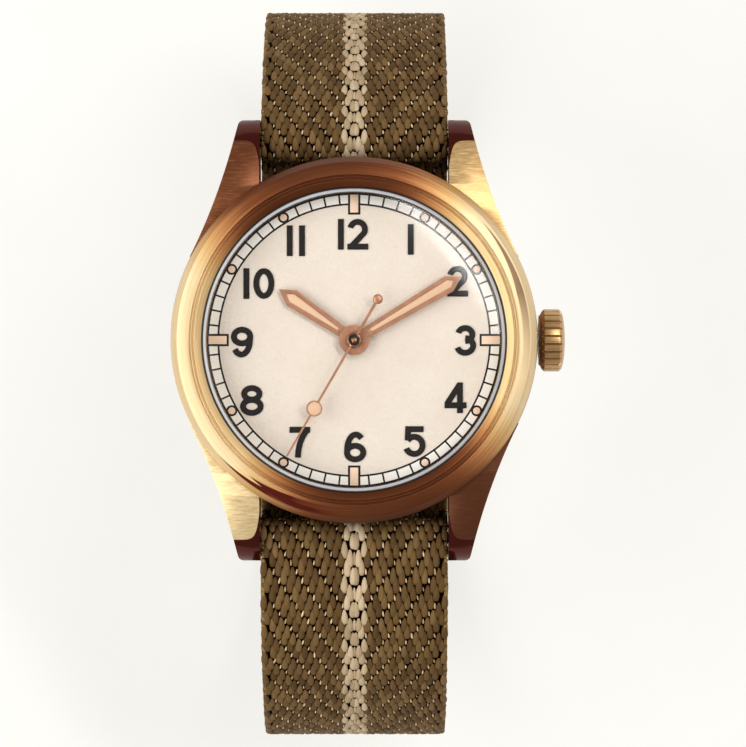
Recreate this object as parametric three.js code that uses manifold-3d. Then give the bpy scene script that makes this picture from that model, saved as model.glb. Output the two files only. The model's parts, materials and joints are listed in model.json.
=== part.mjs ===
// A hand-wound wristwatch with a bronze case, worn-shape woven band and pin buckle.
// Millimetres. +Z is the way the dial faces, +Y points to 12 o'clock, +X to the crown.
// The origin is on the dial axis, in the plane on which the closed band's hardware stands.

import * as THREE from 'three';
import { mergeVertices } from 'three/addons/utils/BufferGeometryUtils.js';
import Module from 'manifold-3d';

const wasm = await Module();
wasm.setup();

const TURN = 2 * Math.PI;
const degrees = THREE.MathUtils.degToRad;

// ---------------------------------------------------------------- driving dimensions

// Heights inside the watch head are counted from the outer face of the case back.
const HEAD_Z = 45.2;

const CASE_R = 17.55;
const CASE_BORE_R = 14.5;
const CASE_BOTTOM = 0.8;
const CASE_TOP = 7.1;
const LUG_INNER_X = 9.08;
const LUG_TIP_Y = 21.05;

const SPRING_BAR_Y = 19.15;
const SPRING_BAR_Z = 1.8;
const SPRING_BAR_R = 0.75;
const SPRING_PIVOT_R = 0.45;
const SPRING_PIVOT_X = 9.9;
const SPRING_SHOULDER_X = 9.0;

// The space milled between the lugs for the band.
const STRAP_RELIEF_Y = [16.6, 25];
const STRAP_RELIEF_TOP = 5.1;

const DIAL_R = 14.05;
const DIAL_BOTTOM = 5.7;
const DIAL_TOP = 6.1;
const CRYSTAL_R = 14.4;

const STEM_Z = 3.1;
const CROWN_R = 3.0;
const CROWN_X = 17.75;
const CROWN_WIDTH = 2.2;
const CROWN_DOME = 0.35;
const CROWN_FLUTES = 24;
const CROWN_TUBE_R = 1.24;

// Time shown by the hands, as clockwise angles from 12 o'clock.
const HOUR_ANGLE = 304;
const MINUTE_ANGLE = 59.3;
const SECOND_ANGLE = 210.1;

// Gear train: tooth counts and modules.
const BARREL = { teeth: 60, module: 0.18 };
const CENTRE_PINION = { teeth: 10, module: 0.18 };
const CENTRE_WHEEL = { teeth: 64, module: 0.15 };
const THIRD_PINION = { teeth: 8, module: 0.15 };
const THIRD_WHEEL = { teeth: 60, module: 10.8 / 68 };
const FOURTH_PINION = { teeth: 8, module: 10.8 / 68 };
const FOURTH_WHEEL = { teeth: 60, module: 0.16 };
const ESCAPE_PINION = { teeth: 6, module: 0.16 };
const CANNON = { teeth: 10, module: 0.18 };
const MINUTE_WHEEL = { teeth: 30, module: 0.18 };
const MINUTE_PINION = { teeth: 8, module: 0.18 };
const HOUR_WHEEL = { teeth: 32, module: 0.18 };
const SETTING_WHEEL = { teeth: 14, module: 0.18 };
const RATCHET = { teeth: 36, module: 4 / 15 };
const CROWN_WHEEL = { teeth: 18, module: 4 / 15 };
const WINDING_PINION = { teeth: 12, module: 4 / 15 };

// Movement layers, from the case back towards the dial: [lower, upper].
const WINDING_LAYER = [1.15, 1.5];
const BRIDGE_LAYER = [1.55, 2.0];
const FOURTH_LAYER = [2.1, 2.22];
const THIRD_LAYER = [2.3, 2.42];
const CENTRE_LAYER = [2.5, 2.62];
const DRUM_LAYER = [2.7, 3.65];
const BARREL_LAYER = [3.65, 3.95];
const ESCAPE_LAYER = [3.6, 3.75];
const PLATE_LAYER = [4.05, 4.9];
const MINUTE_LAYER = [4.95, 5.15];
const HOUR_LAYER = [5.3, 5.5];
const MOVEMENT_R = 12.75;
const BRIDGE_R = 12.6;

// Band: woven webbing of constant thickness.
const BAND_HALF_WIDTH = 8.95;
const BAND_THICKNESS = 1.2;
const BAND_UNDER_CASE_Z = HEAD_Z - 0.9;
const TAIL_Z = 1.3;
const INNER_LAYER_Z = 2.7;
const BUCKLE_Y = -9;
const BUCKLE_Z = 3.7;
const BUCKLE_BAR_R = 0.6;
const BAR_HOLE_R = BUCKLE_BAR_R + 0.06;

// How far the closed band bulges out past 12 o'clock and past 6 o'clock.
const NEAR_BULGE_Y = 33.2;
const FAR_BULGE_Y = 39.2;

const OUTER_BAR_Y = -17.5;
const OUTER_BAR_Z = 1.5;
const OUTER_BAR_R = 0.65;

// ---------------------------------------------------------------- colours

const BRONZE = { color: 0xb98a5c, roughness: 0.35, metalness: 1 };
const COPPER = { color: 0xbe8769, roughness: 0.3, metalness: 1 };
const STEEL = { color: 0xb9bcc0, roughness: 0.3, metalness: 1 };
const BRASS = { color: 0xc9a85c, roughness: 0.35, metalness: 1 };
const RUBBER = { color: 0x1c1c1c, roughness: 0.8, metalness: 0 };
const LUME = { color: 0xf0cda5, roughness: 0.7, metalness: 0 };
const CREAM = { color: 0xf6e8db, roughness: 0.6, metalness: 0 };
const GLASS = { color: 0xf4f7f8, roughness: 0.05, metalness: 0, transparent: true, opacity: 0.3 };
const WEBBING = { color: 0x735a3a, roughness: 0.9, metalness: 0 };
const PLASTIC = { color: 0xd8d8d2, roughness: 0.5, metalness: 0 };

// ---------------------------------------------------------------- helpers

// One closed, outward-facing mesh with shared vertices and no collapsed triangles.
function clean(geometry) {
  const bare = geometry.clone();
  bare.deleteAttribute('normal');
  bare.deleteAttribute('uv');
  const merged = mergeVertices(bare, 1e-5);
  const position = merged.getAttribute('position');
  const source = merged.getIndex().array;
  const index = [];
  const [a, b, c] = [new THREE.Vector3(), new THREE.Vector3(), new THREE.Vector3()];
  let volume = 0;
  for (let i = 0; i < source.length; i += 3) {
    const [p, q, r] = source.slice(i, i + 3);
    if (p === q || q === r || r === p) continue;
    index.push(p, q, r);
    a.fromBufferAttribute(position, p);
    b.fromBufferAttribute(position, q);
    c.fromBufferAttribute(position, r);
    volume += a.dot(b.cross(c)) / 6;
  }
  if (volume < 0) index.reverse();
  const result = new THREE.BufferGeometry();
  result.setAttribute('position', position);
  result.setIndex(index);
  return result;
}

function solid(geometry) {
  const closed = clean(geometry);
  return new wasm.Manifold(new wasm.Mesh({
    numProp: 3,
    vertProperties: new Float32Array(closed.getAttribute('position').array),
    triVerts: new Uint32Array(closed.getIndex().array),
  }));
}

function geometryOf(manifold) {
  const mesh = manifold.getMesh();
  const result = new THREE.BufferGeometry();
  result.setAttribute('position', new THREE.BufferAttribute(mesh.vertProperties, 3));
  result.setIndex(new THREE.BufferAttribute(mesh.triVerts, 1));
  return result;
}

// Joins every solid in add, then cuts every solid in cut away from the result.
function carve(add, cut = []) {
  let result = solid(add[0]);
  for (const piece of add.slice(1)) result = result.add(solid(piece));
  for (const piece of cut) result = result.subtract(solid(piece));
  return geometryOf(result);
}

function extrude(shape, low, high, curveSegments = 12) {
  const geometry = new THREE.ExtrudeGeometry(shape, {
    depth: high - low, bevelEnabled: false, curveSegments,
  });
  return geometry.translate(0, 0, low);
}

// A shape drawn in (y, z) and extruded along x.
function extrudeX(shape, low, high, curveSegments = 12) {
  const turn = new THREE.Matrix4().makeBasis(
    new THREE.Vector3(0, 1, 0), new THREE.Vector3(0, 0, 1), new THREE.Vector3(1, 0, 0));
  return extrude(shape, low, high, curveSegments).applyMatrix4(turn);
}

// A profile of [radius, height] points turned about z.
function turned(profile, segments = 32) {
  const points = profile.map(([r, z]) => new THREE.Vector2(r, z));
  return new THREE.LatheGeometry(points, segments).rotateX(Math.PI / 2);
}

// The same, turned about x: the heights run along +x.
function turnedX(profile, segments = 24) {
  return turned(profile, segments).rotateY(Math.PI / 2);
}

function ringProfile(inner, outer, low, high) {
  return [[inner, low], [outer, low], [outer, high], [inner, high], [inner, low]];
}

function ring(inner, outer, low, high, segments = 32) {
  return turned(ringProfile(inner, outer, low, high), segments);
}

function rod(radius, low, high, segments = 16) {
  return turned([[0, low], [radius, low], [radius, high], [0, high]], segments);
}

function rodX(radius, low, high, segments = 16) {
  return rod(radius, low, high, segments).rotateY(Math.PI / 2);
}

function rodAt(x, y, radius, low, high, segments = 16) {
  return rod(radius, low, high, segments).translate(x, y, 0);
}

function box(low, high) {
  const size = high.map((value, i) => value - low[i]);
  const middle = high.map((value, i) => (value + low[i]) / 2);
  return new THREE.BoxGeometry(...size).translate(...middle);
}

function polygon(points) {
  return new THREE.Shape(points.map(([x, y]) => new THREE.Vector2(x, y)));
}

function circleShape(radius, x = 0, y = 0) {
  return new THREE.Shape().absarc(x, y, radius, 0, TURN);
}

// Two round ends joined by straight sides, from one point to another.
function capsule([x0, y0], [x1, y1], radius) {
  const angle = Math.atan2(y1 - y0, x1 - x0);
  const shape = new THREE.Shape();
  shape.absarc(x0, y0, radius, angle + Math.PI / 2, angle + Math.PI * 1.5);
  shape.absarc(x1, y1, radius, angle - Math.PI / 2, angle + Math.PI / 2);
  return shape;
}

// A strip of constant width that follows a line of points.
function ribbon(points, width) {
  const left = [];
  const right = [];
  points.forEach((point, i) => {
    const before = points[Math.max(i - 1, 0)];
    const after = points[Math.min(i + 1, points.length - 1)];
    const along = after.clone().sub(before).normalize();
    const normal = new THREE.Vector2(-along.y, along.x).multiplyScalar(width / 2);
    left.push(point.clone().add(normal));
    right.push(point.clone().sub(normal));
  });
  return new THREE.Shape(left.concat(right.reverse()));
}

function polar(radius, angle) {
  return [radius * Math.cos(angle), radius * Math.sin(angle)];
}

// ---------------------------------------------------------------- gear teeth

const pitchRadius = ({ teeth, module }) => (teeth * module) / 2;

// Pointed teeth, thin enough at the pitch circle to leave running backlash.
function gearShape(gear, phase = 0) {
  const tip = pitchRadius(gear) + 0.4 * gear.module;
  const root = pitchRadius(gear) - 1.1 * gear.module;
  const points = [];
  for (let i = 0; i < gear.teeth; i += 1) {
    points.push(polar(tip, phase + (i * TURN) / gear.teeth));
    points.push(polar(root, phase + ((i + 0.5) * TURN) / gear.teeth));
  }
  return polygon(points);
}

// Phase of a gear whose gap must meet the driver's tooth on the line between their centres.
function meshPhase(driver, driverPhase, driven, direction) {
  const driverPitch = TURN / driver.teeth;
  const drivenPitch = TURN / driven.teeth;
  const offset = (direction - driverPhase) / driverPitch;
  return direction + Math.PI - (0.5 - offset) * drivenPitch;
}

const distance = (a, b) => pitchRadius(a) + pitchRadius(b);

// ---------------------------------------------------------------- scene graph

const watch = new THREE.Group();
const head = new THREE.Group();
head.position.z = HEAD_Z;
watch.add(head);

function part(parent, name, geometry, finish, position = [0, 0, 0]) {
  const mesh = new THREE.Mesh(clean(geometry), new THREE.MeshStandardMaterial(finish));
  mesh.name = name;
  mesh.position.set(...position);
  parent.add(mesh);
  return mesh;
}

// ---------------------------------------------------------------- case

function lugShape(signX, signY) {
  const shape = new THREE.Shape();
  const [tipX, corner] = [11.2, 0.45];
  shape.moveTo(signX * LUG_INNER_X, signY * 11);
  shape.lineTo(signX * LUG_INNER_X, signY * LUG_TIP_Y);
  shape.lineTo(signX * (tipX - corner), signY * LUG_TIP_Y);
  shape.lineTo(signX * tipX, signY * (LUG_TIP_Y - corner));
  shape.bezierCurveTo(signX * 12.12, signY * 16.4, signX * 13.6, signY * 12.15,
    signX * 15.7, signY * 7.95);
  shape.lineTo(signX * 13.5, signY * 7);
  return shape;
}

// Side view of a lug in (y, z): flat beside the case, falling in a curve to a bevelled tip.
function lugProfile(signY) {
  const shape = new THREE.Shape();
  shape.moveTo(signY * 6, CASE_BOTTOM);
  shape.lineTo(signY * 6, CASE_TOP);
  shape.lineTo(signY * 12.5, CASE_TOP);
  shape.quadraticCurveTo(signY * 17, CASE_TOP - 0.3, signY * 19.1, 5.2);
  shape.quadraticCurveTo(signY * 20.6, 4.3, signY * 21.2, 2.2);
  shape.lineTo(signY * 21.2, 0.2);
  shape.quadraticCurveTo(signY * 20.5, -0.3, signY * 19.2, -0.3);
  shape.quadraticCurveTo(signY * 16, -0.2, signY * 12, CASE_BOTTOM);
  return shape;
}

function midCase() {
  const wall = turned([
    [CASE_BORE_R, CASE_BOTTOM], [16.7, CASE_BOTTOM], [17.35, 1.7], [CASE_R, 2.9],
    [CASE_R, 6.8], [17.3, CASE_TOP], [CASE_BORE_R, CASE_TOP], [CASE_BORE_R, CASE_BOTTOM],
  ], 40);
  let body = solid(wall);
  for (const signY of [1, -1]) {
    const side = solid(extrudeX(lugProfile(signY), -16, 16, 4));
    for (const signX of [1, -1]) {
      const plan = solid(extrude(lugShape(signX, signY), -1, 8, 6));
      body = body.add(plan.intersect(side));
    }
  }
  const cuts = [rod(CASE_BORE_R, -1, 8, 40), rodX(CROWN_TUBE_R + 0.08, 10, 20).translate(0, 0, STEM_Z)];
  cuts.push(ring(14.7, 15.35, 0, CASE_BOTTOM + 0.5, 24));
  for (const signY of [1, -1]) {
    const [near, far] = STRAP_RELIEF_Y.map((y) => signY * y);
    const low = [-LUG_INNER_X, Math.min(near, far), -1];
    const high = [LUG_INNER_X, Math.max(near, far), STRAP_RELIEF_TOP];
    cuts.push(box(low, high));
    cuts.push(rodX(SPRING_PIVOT_R + 0.05, -SPRING_PIVOT_X - 0.2, SPRING_PIVOT_X + 0.2)
      .translate(0, signY * SPRING_BAR_Y, SPRING_BAR_Z));
  }
  for (const cut of cuts) body = body.subtract(solid(cut));
  return geometryOf(body);
}

part(head, 'mid_case', midCase(), BRONZE);

part(head, 'bezel', turned([
  [14.12, 6.15], [14.42, 6.15], [14.42, 7.15], [17.35, 7.15], [17.5, 7.35], [16.95, 8.3], [16.85, 8.45],
  [15.78, 8.75], [15.68, 8.6], [15.4, 8.62], [15.28, 8.8], [14.62, 8.55], [14.62, 7.25], [14.12, 7.25],
  [14.12, 6.15],
], 40), BRONZE);

part(head, 'crystal', turned([
  [0, 9.2], [7, 8.85], [13.0, 8.0], [13.3, 7.3], [CRYSTAL_R, 7.3], [CRYSTAL_R, 8.55],
  [14.1, 8.85], [8, 9.95], [0, 10.35],
], 40), GLASS);

part(head, 'crystal_gasket', ring(CRYSTAL_R + 0.03, 14.59, 7.3, 8.5, 40), RUBBER);

part(head, 'case_back', turned([
  [0, 0], [14.6, 0], [15.5, 0.35], [15.5, 0.75], [14.4, 0.75], [14.4, 1.6], [13.5, 1.6], [13.5, 0.7],
  [0, 0.7],
], 36), STEEL);

part(head, 'case_back_gasket', ring(14.75, 15.3, 0.85, 1.2, 24), RUBBER);

for (const [name, sign] of [['spring_bar_12', 1], ['spring_bar_6', -1]]) {
  part(head, name, turnedX([
    [0, -SPRING_PIVOT_X], [SPRING_PIVOT_R, -SPRING_PIVOT_X], [SPRING_PIVOT_R, -SPRING_SHOULDER_X],
    [SPRING_BAR_R, -SPRING_SHOULDER_X], [SPRING_BAR_R, SPRING_SHOULDER_X],
    [SPRING_PIVOT_R, SPRING_SHOULDER_X], [SPRING_PIVOT_R, SPRING_PIVOT_X], [0, SPRING_PIVOT_X],
  ], 16), STEEL, [0, sign * SPRING_BAR_Y, SPRING_BAR_Z]);
}

// ---------------------------------------------------------------- dial and hands

part(head, 'dial', ring(1.12, DIAL_R, DIAL_BOTTOM, DIAL_TOP, 40), CREAM);

part(head, 'movement_ring', carve([ring(12.8, 14.42, 1.7, 5.65, 32)],
  [box([11, -2, 1], [15, 2, 5])]), PLASTIC);

// A hand that widens from the hub to a shoulder and then runs to a point, drawn along +y.
function handOutline(from, shoulder, tip, nearWidth, farWidth) {
  return [[-nearWidth / 2, from], [nearWidth / 2, from], [farWidth / 2, shoulder],
    [0, tip], [-farWidth / 2, shoulder]];
}

const HAND_THICKNESS = 0.2;
const HAND_BORDER = 0.35;
const HAND_HUB_R = 1.45;
const HAND_WINDOW_Y = 2.1;

// A frame with a window for the luminous insert, a round hub and a hole for its tube.
function hand(name, angle, z, size) {
  const { tip, shoulder, near, far, bore } = size;
  const frame = extrude(polygon(handOutline(0, shoulder, tip, near, far)), 0, HAND_THICKNESS);
  const windowTip = tip - 3 * HAND_BORDER;
  const [windowNear, windowFar] = [near - HAND_BORDER, far - 2 * HAND_BORDER];
  const opening = polygon(handOutline(HAND_WINDOW_Y, shoulder, windowTip, windowNear, windowFar));
  const insertShape = polygon(handOutline(HAND_WINDOW_Y + 0.04, shoulder, windowTip - 0.08,
    windowNear - 0.06, windowFar - 0.06));
  const blank = carve([frame, rod(HAND_HUB_R, 0, HAND_THICKNESS, 28)],
    [rod(bore, -1, 1, 20), extrude(opening, -1, 1)]);
  const turnHand = degrees(-angle);
  part(head, name, blank, COPPER, [0, 0, z]).rotation.z = turnHand;
  part(head, `${name}_lume`, extrude(insertShape, 0.02, 0.16), LUME, [0, 0, z]).rotation.z = turnHand;
}

hand('hour_hand', HOUR_ANGLE, 6.5, { tip: 8.6, shoulder: 6.6, near: 0.93, far: 1.75, bore: 1.04 });
hand('minute_hand', MINUTE_ANGLE, 6.95, { tip: 12.0, shoulder: 10.1, near: 1.0, far: 1.44, bore: 0.73 });

const SECONDS_Z = 7.45;
const SECONDS_THICKNESS = 0.12;
const SECONDS_TIP = 12.8;
const LOLLIPOP_Y = 7.56;
const COUNTERWEIGHT_Y = -4.5;

part(head, 'seconds_hand', carve([
  extrude(polygon([[-0.16, COUNTERWEIGHT_Y], [0.16, COUNTERWEIGHT_Y], [0.1, SECONDS_TIP],
    [-0.1, SECONDS_TIP]]), 0, SECONDS_THICKNESS),
  rodAt(0, LOLLIPOP_Y, 0.77, 0, SECONDS_THICKNESS, 16),
  rodAt(0, COUNTERWEIGHT_Y, 0.485, 0, SECONDS_THICKNESS, 16),
  rod(0.625, -0.1, 0.25, 16),
], [rodAt(0, LOLLIPOP_Y, 0.62, -1, 1, 16), rod(0.24, -1, 1, 16)]), COPPER,
[0, 0, SECONDS_Z]).rotation.z = degrees(-SECOND_ANGLE);

part(head, 'seconds_hand_lume', rodAt(0, LOLLIPOP_Y, 0.59, 0.01, SECONDS_THICKNESS - 0.01, 16), LUME,
  [0, 0, SECONDS_Z]).rotation.z = degrees(-SECOND_ANGLE);

// ---------------------------------------------------------------- crown and winding stem

function crownShape() {
  const pitch = TURN / CROWN_FLUTES;
  const points = [];
  for (let i = 0; i < CROWN_FLUTES; i += 1) {
    points.push(polar(CROWN_R, (i - 0.28) * pitch));
    points.push(polar(CROWN_R, (i + 0.28) * pitch));
    points.push(polar(CROWN_R - 0.22, (i + 0.5) * pitch));
  }
  return polygon(points);
}

function crown() {
  const length = CROWN_WIDTH + CROWN_DOME;
  const envelope = solid(turnedX([
    [0, 0], [2.75, 0], [3.05, 0.3], [3.05, CROWN_WIDTH - 0.3], [2.7, CROWN_WIDTH],
    [1.6, length - 0.08], [0, length],
  ], 24));
  const fluted = solid(extrudeX(crownShape(), 0, length));
  return geometryOf(fluted.intersect(envelope)
    .subtract(solid(rodX(1.75, -1, 1.1, 24)))
    .subtract(solid(rodX(0.5, 0, 1.7))));
}

part(head, 'crown', crown(), BRONZE, [CROWN_X, 0, STEM_Z]);
part(head, 'crown_gasket', turnedX(ringProfile(1.28, 1.72, 0.6, 1.05), 12), RUBBER, [CROWN_X, 0, STEM_Z]);
part(head, 'crown_tube', turnedX(ringProfile(0.6, CROWN_TUBE_R, 14.6, 18.2), 12), STEEL, [0, 0, STEM_Z]);
part(head, 'winding_stem', turnedX([
  [0, 7.2], [0.3, 7.2], [0.3, 8.2], [0.44, 8.2], [0.44, 11.35], [0.25, 11.35], [0.25, 11.75],
  [0.44, 11.75], [0.44, 19.35], [0, 19.35],
], 12), STEEL, [0, 0, STEM_Z]);

// ---------------------------------------------------------------- train positions

const CROWN_WHEEL_AT = [7.9, 0];
const barrelReach = distance(BARREL, CENTRE_PINION);
const windingReach = distance(RATCHET, CROWN_WHEEL);
const barrelAngle = Math.acos(
  (CROWN_WHEEL_AT[0] ** 2 + barrelReach ** 2 - windingReach ** 2) / (2 * CROWN_WHEEL_AT[0] * barrelReach));
const thirdAngle = degrees(150);
const escapeAngle = degrees(250);
const BARREL_AT = polar(barrelReach, barrelAngle);
const THIRD_AT = polar(distance(CENTRE_WHEEL, THIRD_PINION), thirdAngle);
const ESCAPE_AT = polar(distance(FOURTH_WHEEL, ESCAPE_PINION), escapeAngle);
const MINUTE_WHEEL_AT = [distance(CANNON, MINUTE_WHEEL), 0];
const SETTING_WHEEL_AT = [MINUTE_WHEEL_AT[0] + distance(MINUTE_WHEEL, SETTING_WHEEL), 0];

// The escape wheel, pallet fork and balance stand on one line.
const leverAngle = degrees(-20);
const LEVER_REACH = 2.5;
const BALANCE_REACH = 5.24;
const along = (reach) => polar(reach, leverAngle).map((value, i) => value + ESCAPE_AT[i]);
const PALLET_AT = along(LEVER_REACH);
const BALANCE_AT = along(BALANCE_REACH);

// ---------------------------------------------------------------- plates and bridges

const PIVOT_R = 0.2;
const PIVOT_HOLE_R = 0.24;
const STEM_HOLE_R = 0.55;
const pivotHole = ([x, y], radius = PIVOT_HOLE_R) => rodAt(x, y, radius, 0, 6, 8);
const stemBore = () => rodX(STEM_HOLE_R, 6, 20).translate(0, 0, STEM_Z);
const pinionSlot = () => box([10.05, -2, 0.5], [11.85, 2, 6]);
const leverNotch = () => box([11.8, -2.1, 3.35], [13, 0.7, 4.05]);

part(head, 'main_plate', carve(
  [rod(MOVEMENT_R, PLATE_LAYER[0], PLATE_LAYER[1], 32), ring(12.1, MOVEMENT_R, 2.05, 4.2, 32)],
  [rod(0.55, 0, 6), pivotHole(BARREL_AT, 0.5), pivotHole(THIRD_AT), pivotHole(ESCAPE_AT),
    pivotHole(PALLET_AT), pivotHole(BALANCE_AT), stemBore(), pinionSlot(), leverNotch()]), BRASS);

// A pie-shaped bridge plate between two angles.
function sector(inner, outer, from, to) {
  const shape = new THREE.Shape();
  shape.absarc(0, 0, outer, degrees(from), degrees(to));
  shape.absarc(0, 0, inner, degrees(to), degrees(from), true);
  return shape;
}

part(head, 'barrel_bridge', carve(
  [extrude(sector(1.9, BRIDGE_R, -18, 116), ...BRIDGE_LAYER, 10)],
  [pivotHole(BARREL_AT, 0.78), pinionSlot()]), BRASS);

part(head, 'train_bridge', carve(
  [extrude(sector(0.4, BRIDGE_R, 120, 262), ...BRIDGE_LAYER, 10), rod(1.75, ...BRIDGE_LAYER, 16)],
  [rod(PIVOT_HOLE_R, 0, 6, 12), pivotHole(THIRD_AT), pivotHole(ESCAPE_AT)]), BRASS);

const cockFoot = polar(12.2, degrees(-65));
part(head, 'balance_cock', carve(
  [extrude(capsule(BALANCE_AT, cockFoot, 1.5), ...BRIDGE_LAYER, 6)],
  [pivotHole(BALANCE_AT), ring(BRIDGE_R, 16, 1, 3, 32)]), BRASS);

function palletBridge() {
  const side = leverAngle + Math.PI / 2;
  const ends = [1, -1].map((sign) => polar(2.8 * sign, side).map((value, i) => value + PALLET_AT[i]));
  const feet = ends.map(([x, y]) => rodAt(x, y, 0.5, 3.38, 4.02, 8));
  return carve([extrude(capsule(ends[0], ends[1], 0.5), 3.38, 3.5, 4), ...feet],
    [pivotHole(PALLET_AT, 0.19)]);
}

part(head, 'pallet_bridge', palletBridge(), BRASS);

// ---------------------------------------------------------------- going train

// Phases in mesh at rest, all counted from the centre wheel's arbor.
const barrelPhase = meshPhase(CENTRE_PINION, 0, BARREL, barrelAngle);
const thirdPinionPhase = meshPhase(CENTRE_WHEEL, 0, THIRD_PINION, thirdAngle);
const fourthPinionPhase = meshPhase(THIRD_WHEEL, 0, FOURTH_PINION, thirdAngle + Math.PI);
const escapePinionPhase = meshPhase(FOURTH_WHEEL, 0, ESCAPE_PINION, escapeAngle);

const layer = ([low, high], grow = 0) => [low - grow, high + grow];

part(head, 'barrel_drum', carve(
  [extrude(gearShape(BARREL, barrelPhase), ...BARREL_LAYER), rod(5.0, 2.9, BARREL_LAYER[0] + 0.01, 24)],
  [rod(4.7, 2.0, 3.7, 24), rod(0.5, 0, 6, 12)]), BRASS, [...BARREL_AT, 0]);

part(head, 'barrel_cover', ring(0.8, 5.0, DRUM_LAYER[0], 2.85, 24), BRASS, [...BARREL_AT, 0]);

// The mainspring, a flat strip wound in an open spiral.
function spiral(inner, outer, turns, steps) {
  const points = [];
  for (let i = 0; i <= steps; i += 1) {
    const share = i / steps;
    const [x, y] = polar(inner + (outer - inner) * share, share * turns * TURN);
    points.push(new THREE.Vector2(x, y));
  }
  return points;
}

part(head, 'mainspring', extrude(ribbon(spiral(1.3, 4.5, 3, 36), 0.16), 2.95, 3.55), STEEL,
  [...BARREL_AT, 0]);

part(head, 'barrel_arbor', turned([
  [0, 1.6], [0.7, 1.6], [0.7, 2.9], [1.1, 2.9], [1.1, 3.6], [0.42, 3.6], [0.42, 4.8], [0, 4.8],
], 12), STEEL, [...BARREL_AT, 0]);

part(head, 'centre_wheel', carve([
  extrude(gearShape(CENTRE_WHEEL), ...CENTRE_LAYER),
  extrude(gearShape(CENTRE_PINION), ...layer(BARREL_LAYER, 0.02)),
  rod(0.5, CENTRE_LAYER[0], 7.0, 10),
], [rod(0.3, 0, 9, 8)]), BRASS);

part(head, 'third_wheel', carve([
  extrude(gearShape(THIRD_WHEEL), ...THIRD_LAYER),
  extrude(gearShape(THIRD_PINION, thirdPinionPhase), CENTRE_LAYER[0] - 0.06, CENTRE_LAYER[1] + 0.06),
  rod(0.25, 2.05, 4.0, 8),
  rod(PIVOT_R, 1.6, 4.6, 8),
]), BRASS, [...THIRD_AT, 0]);

part(head, 'fourth_wheel', carve([
  extrude(gearShape(FOURTH_WHEEL), ...FOURTH_LAYER),
  extrude(gearShape(FOURTH_PINION, fourthPinionPhase), THIRD_LAYER[0] - 0.05, THIRD_LAYER[1] + 0.05),
  rod(PIVOT_R, 1.6, 7.65, 8),
  rod(0.3, 2.05, 2.3, 8),
]), BRASS);

// Fifteen hooked club teeth that lean the way the wheel turns.
function escapeShape() {
  const teeth = 15;
  const points = [];
  for (let i = 0; i < teeth; i += 1) {
    const angle = (i * TURN) / teeth;
    points.push(polar(1.55, angle - 0.28));
    points.push(polar(2.12, angle));
    points.push(polar(2.2, angle + 0.05));
    points.push(polar(1.6, angle + 0.06));
  }
  return polygon(points);
}

part(head, 'escape_wheel', carve([
  extrude(escapeShape(), ...ESCAPE_LAYER),
  extrude(gearShape(ESCAPE_PINION, escapePinionPhase), ...layer(FOURTH_LAYER, 0.03)),
  rod(0.22, 2.05, 4.0, 8),
  rod(PIVOT_R, 1.6, 4.6, 8),
]), STEEL, [...ESCAPE_AT, 0]);

// Pallet fork: an anchor that straddles the escape wheel, and a lever with two horns.
function palletFork() {
  const shape = polygon([
    [-0.9, 2.25], [-0.55, 2.3], [0.35, 0.55], [1.7, 0.16], [2.15, 0.5], [2.35, 0.42], [2.05, 0.1],
    [2.05, -0.1], [2.35, -0.42], [2.15, -0.5], [1.7, -0.16], [0.35, -0.55], [-0.55, -2.3],
    [-0.9, -2.25], [-0.25, -0.5], [-0.12, 0], [-0.25, 0.5],
  ]);
  return carve([extrude(shape, 3.6, 3.75), rod(0.3, 3.55, 4.0, 8), rod(0.15, 3.4, 4.6, 8)])
    .rotateZ(leverAngle);
}

part(head, 'pallet_fork', palletFork(), STEEL, [...PALLET_AT, 0]);

const balanceShape = () => {
  const shape = circleShape(4.2);
  for (const side of [0, 1]) {
    const window = new THREE.Path();
    const start = side * Math.PI + 0.12;
    window.absarc(0, 0, 3.6, start, start + Math.PI - 0.24);
    window.absarc(0, 0, 0.75, start + Math.PI - 0.6, start + 0.36, true);
    shape.holes.push(window);
  }
  return shape;
};

part(head, 'balance_wheel', carve([extrude(balanceShape(), 2.95, 3.2, 9)], [rod(0.42, 0, 6, 12)]),
  BRASS, [...BALANCE_AT, 0]);

part(head, 'balance_staff', turned([
  [0, 1.65], [0.12, 1.65], [0.12, 2.1], [0.4, 2.1], [0.4, 3.3], [0.6, 3.3], [0.6, 3.42],
  [0.2, 3.42], [0.2, 4.0], [0.12, 4.0], [0.12, 4.6], [0, 4.6],
], 8), STEEL, [...BALANCE_AT, 0]);

part(head, 'hairspring', extrude(ribbon(spiral(0.55, 2.3, 4, 48), 0.07), 2.3, 2.45), STEEL,
  [...BALANCE_AT, 0]);

// ---------------------------------------------------------------- motion work

const minuteWheelPhase = meshPhase(CANNON, 0, MINUTE_WHEEL, 0);
const settingPhase = meshPhase(MINUTE_WHEEL, minuteWheelPhase, SETTING_WHEEL, 0);
const hourPhase = meshPhase(MINUTE_PINION, 0, HOUR_WHEEL, Math.PI);

part(head, 'cannon_pinion', carve([
  extrude(gearShape(CANNON), MINUTE_LAYER[0] - 0.02, MINUTE_LAYER[1] + 0.02),
  rod(0.7, MINUTE_LAYER[0], 7.2, 14),
], [rod(0.53, 0, 9, 12)]), STEEL);

part(head, 'minute_wheel', carve([
  extrude(gearShape(MINUTE_WHEEL, minuteWheelPhase), ...MINUTE_LAYER),
  extrude(gearShape(MINUTE_PINION), MINUTE_LAYER[1], HOUR_LAYER[1] + 0.05),
]), BRASS, [...MINUTE_WHEEL_AT, 0]);

part(head, 'hour_wheel', carve([
  extrude(gearShape(HOUR_WHEEL, hourPhase), ...HOUR_LAYER),
  rod(1.0, HOUR_LAYER[0], 6.75, 16),
], [rod(0.75, 0, 9, 20)]), BRASS);

part(head, 'setting_wheel', extrude(gearShape(SETTING_WHEEL, settingPhase), ...MINUTE_LAYER), STEEL,
  [...SETTING_WHEEL_AT, 0]);

// ---------------------------------------------------------------- winding work

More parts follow.
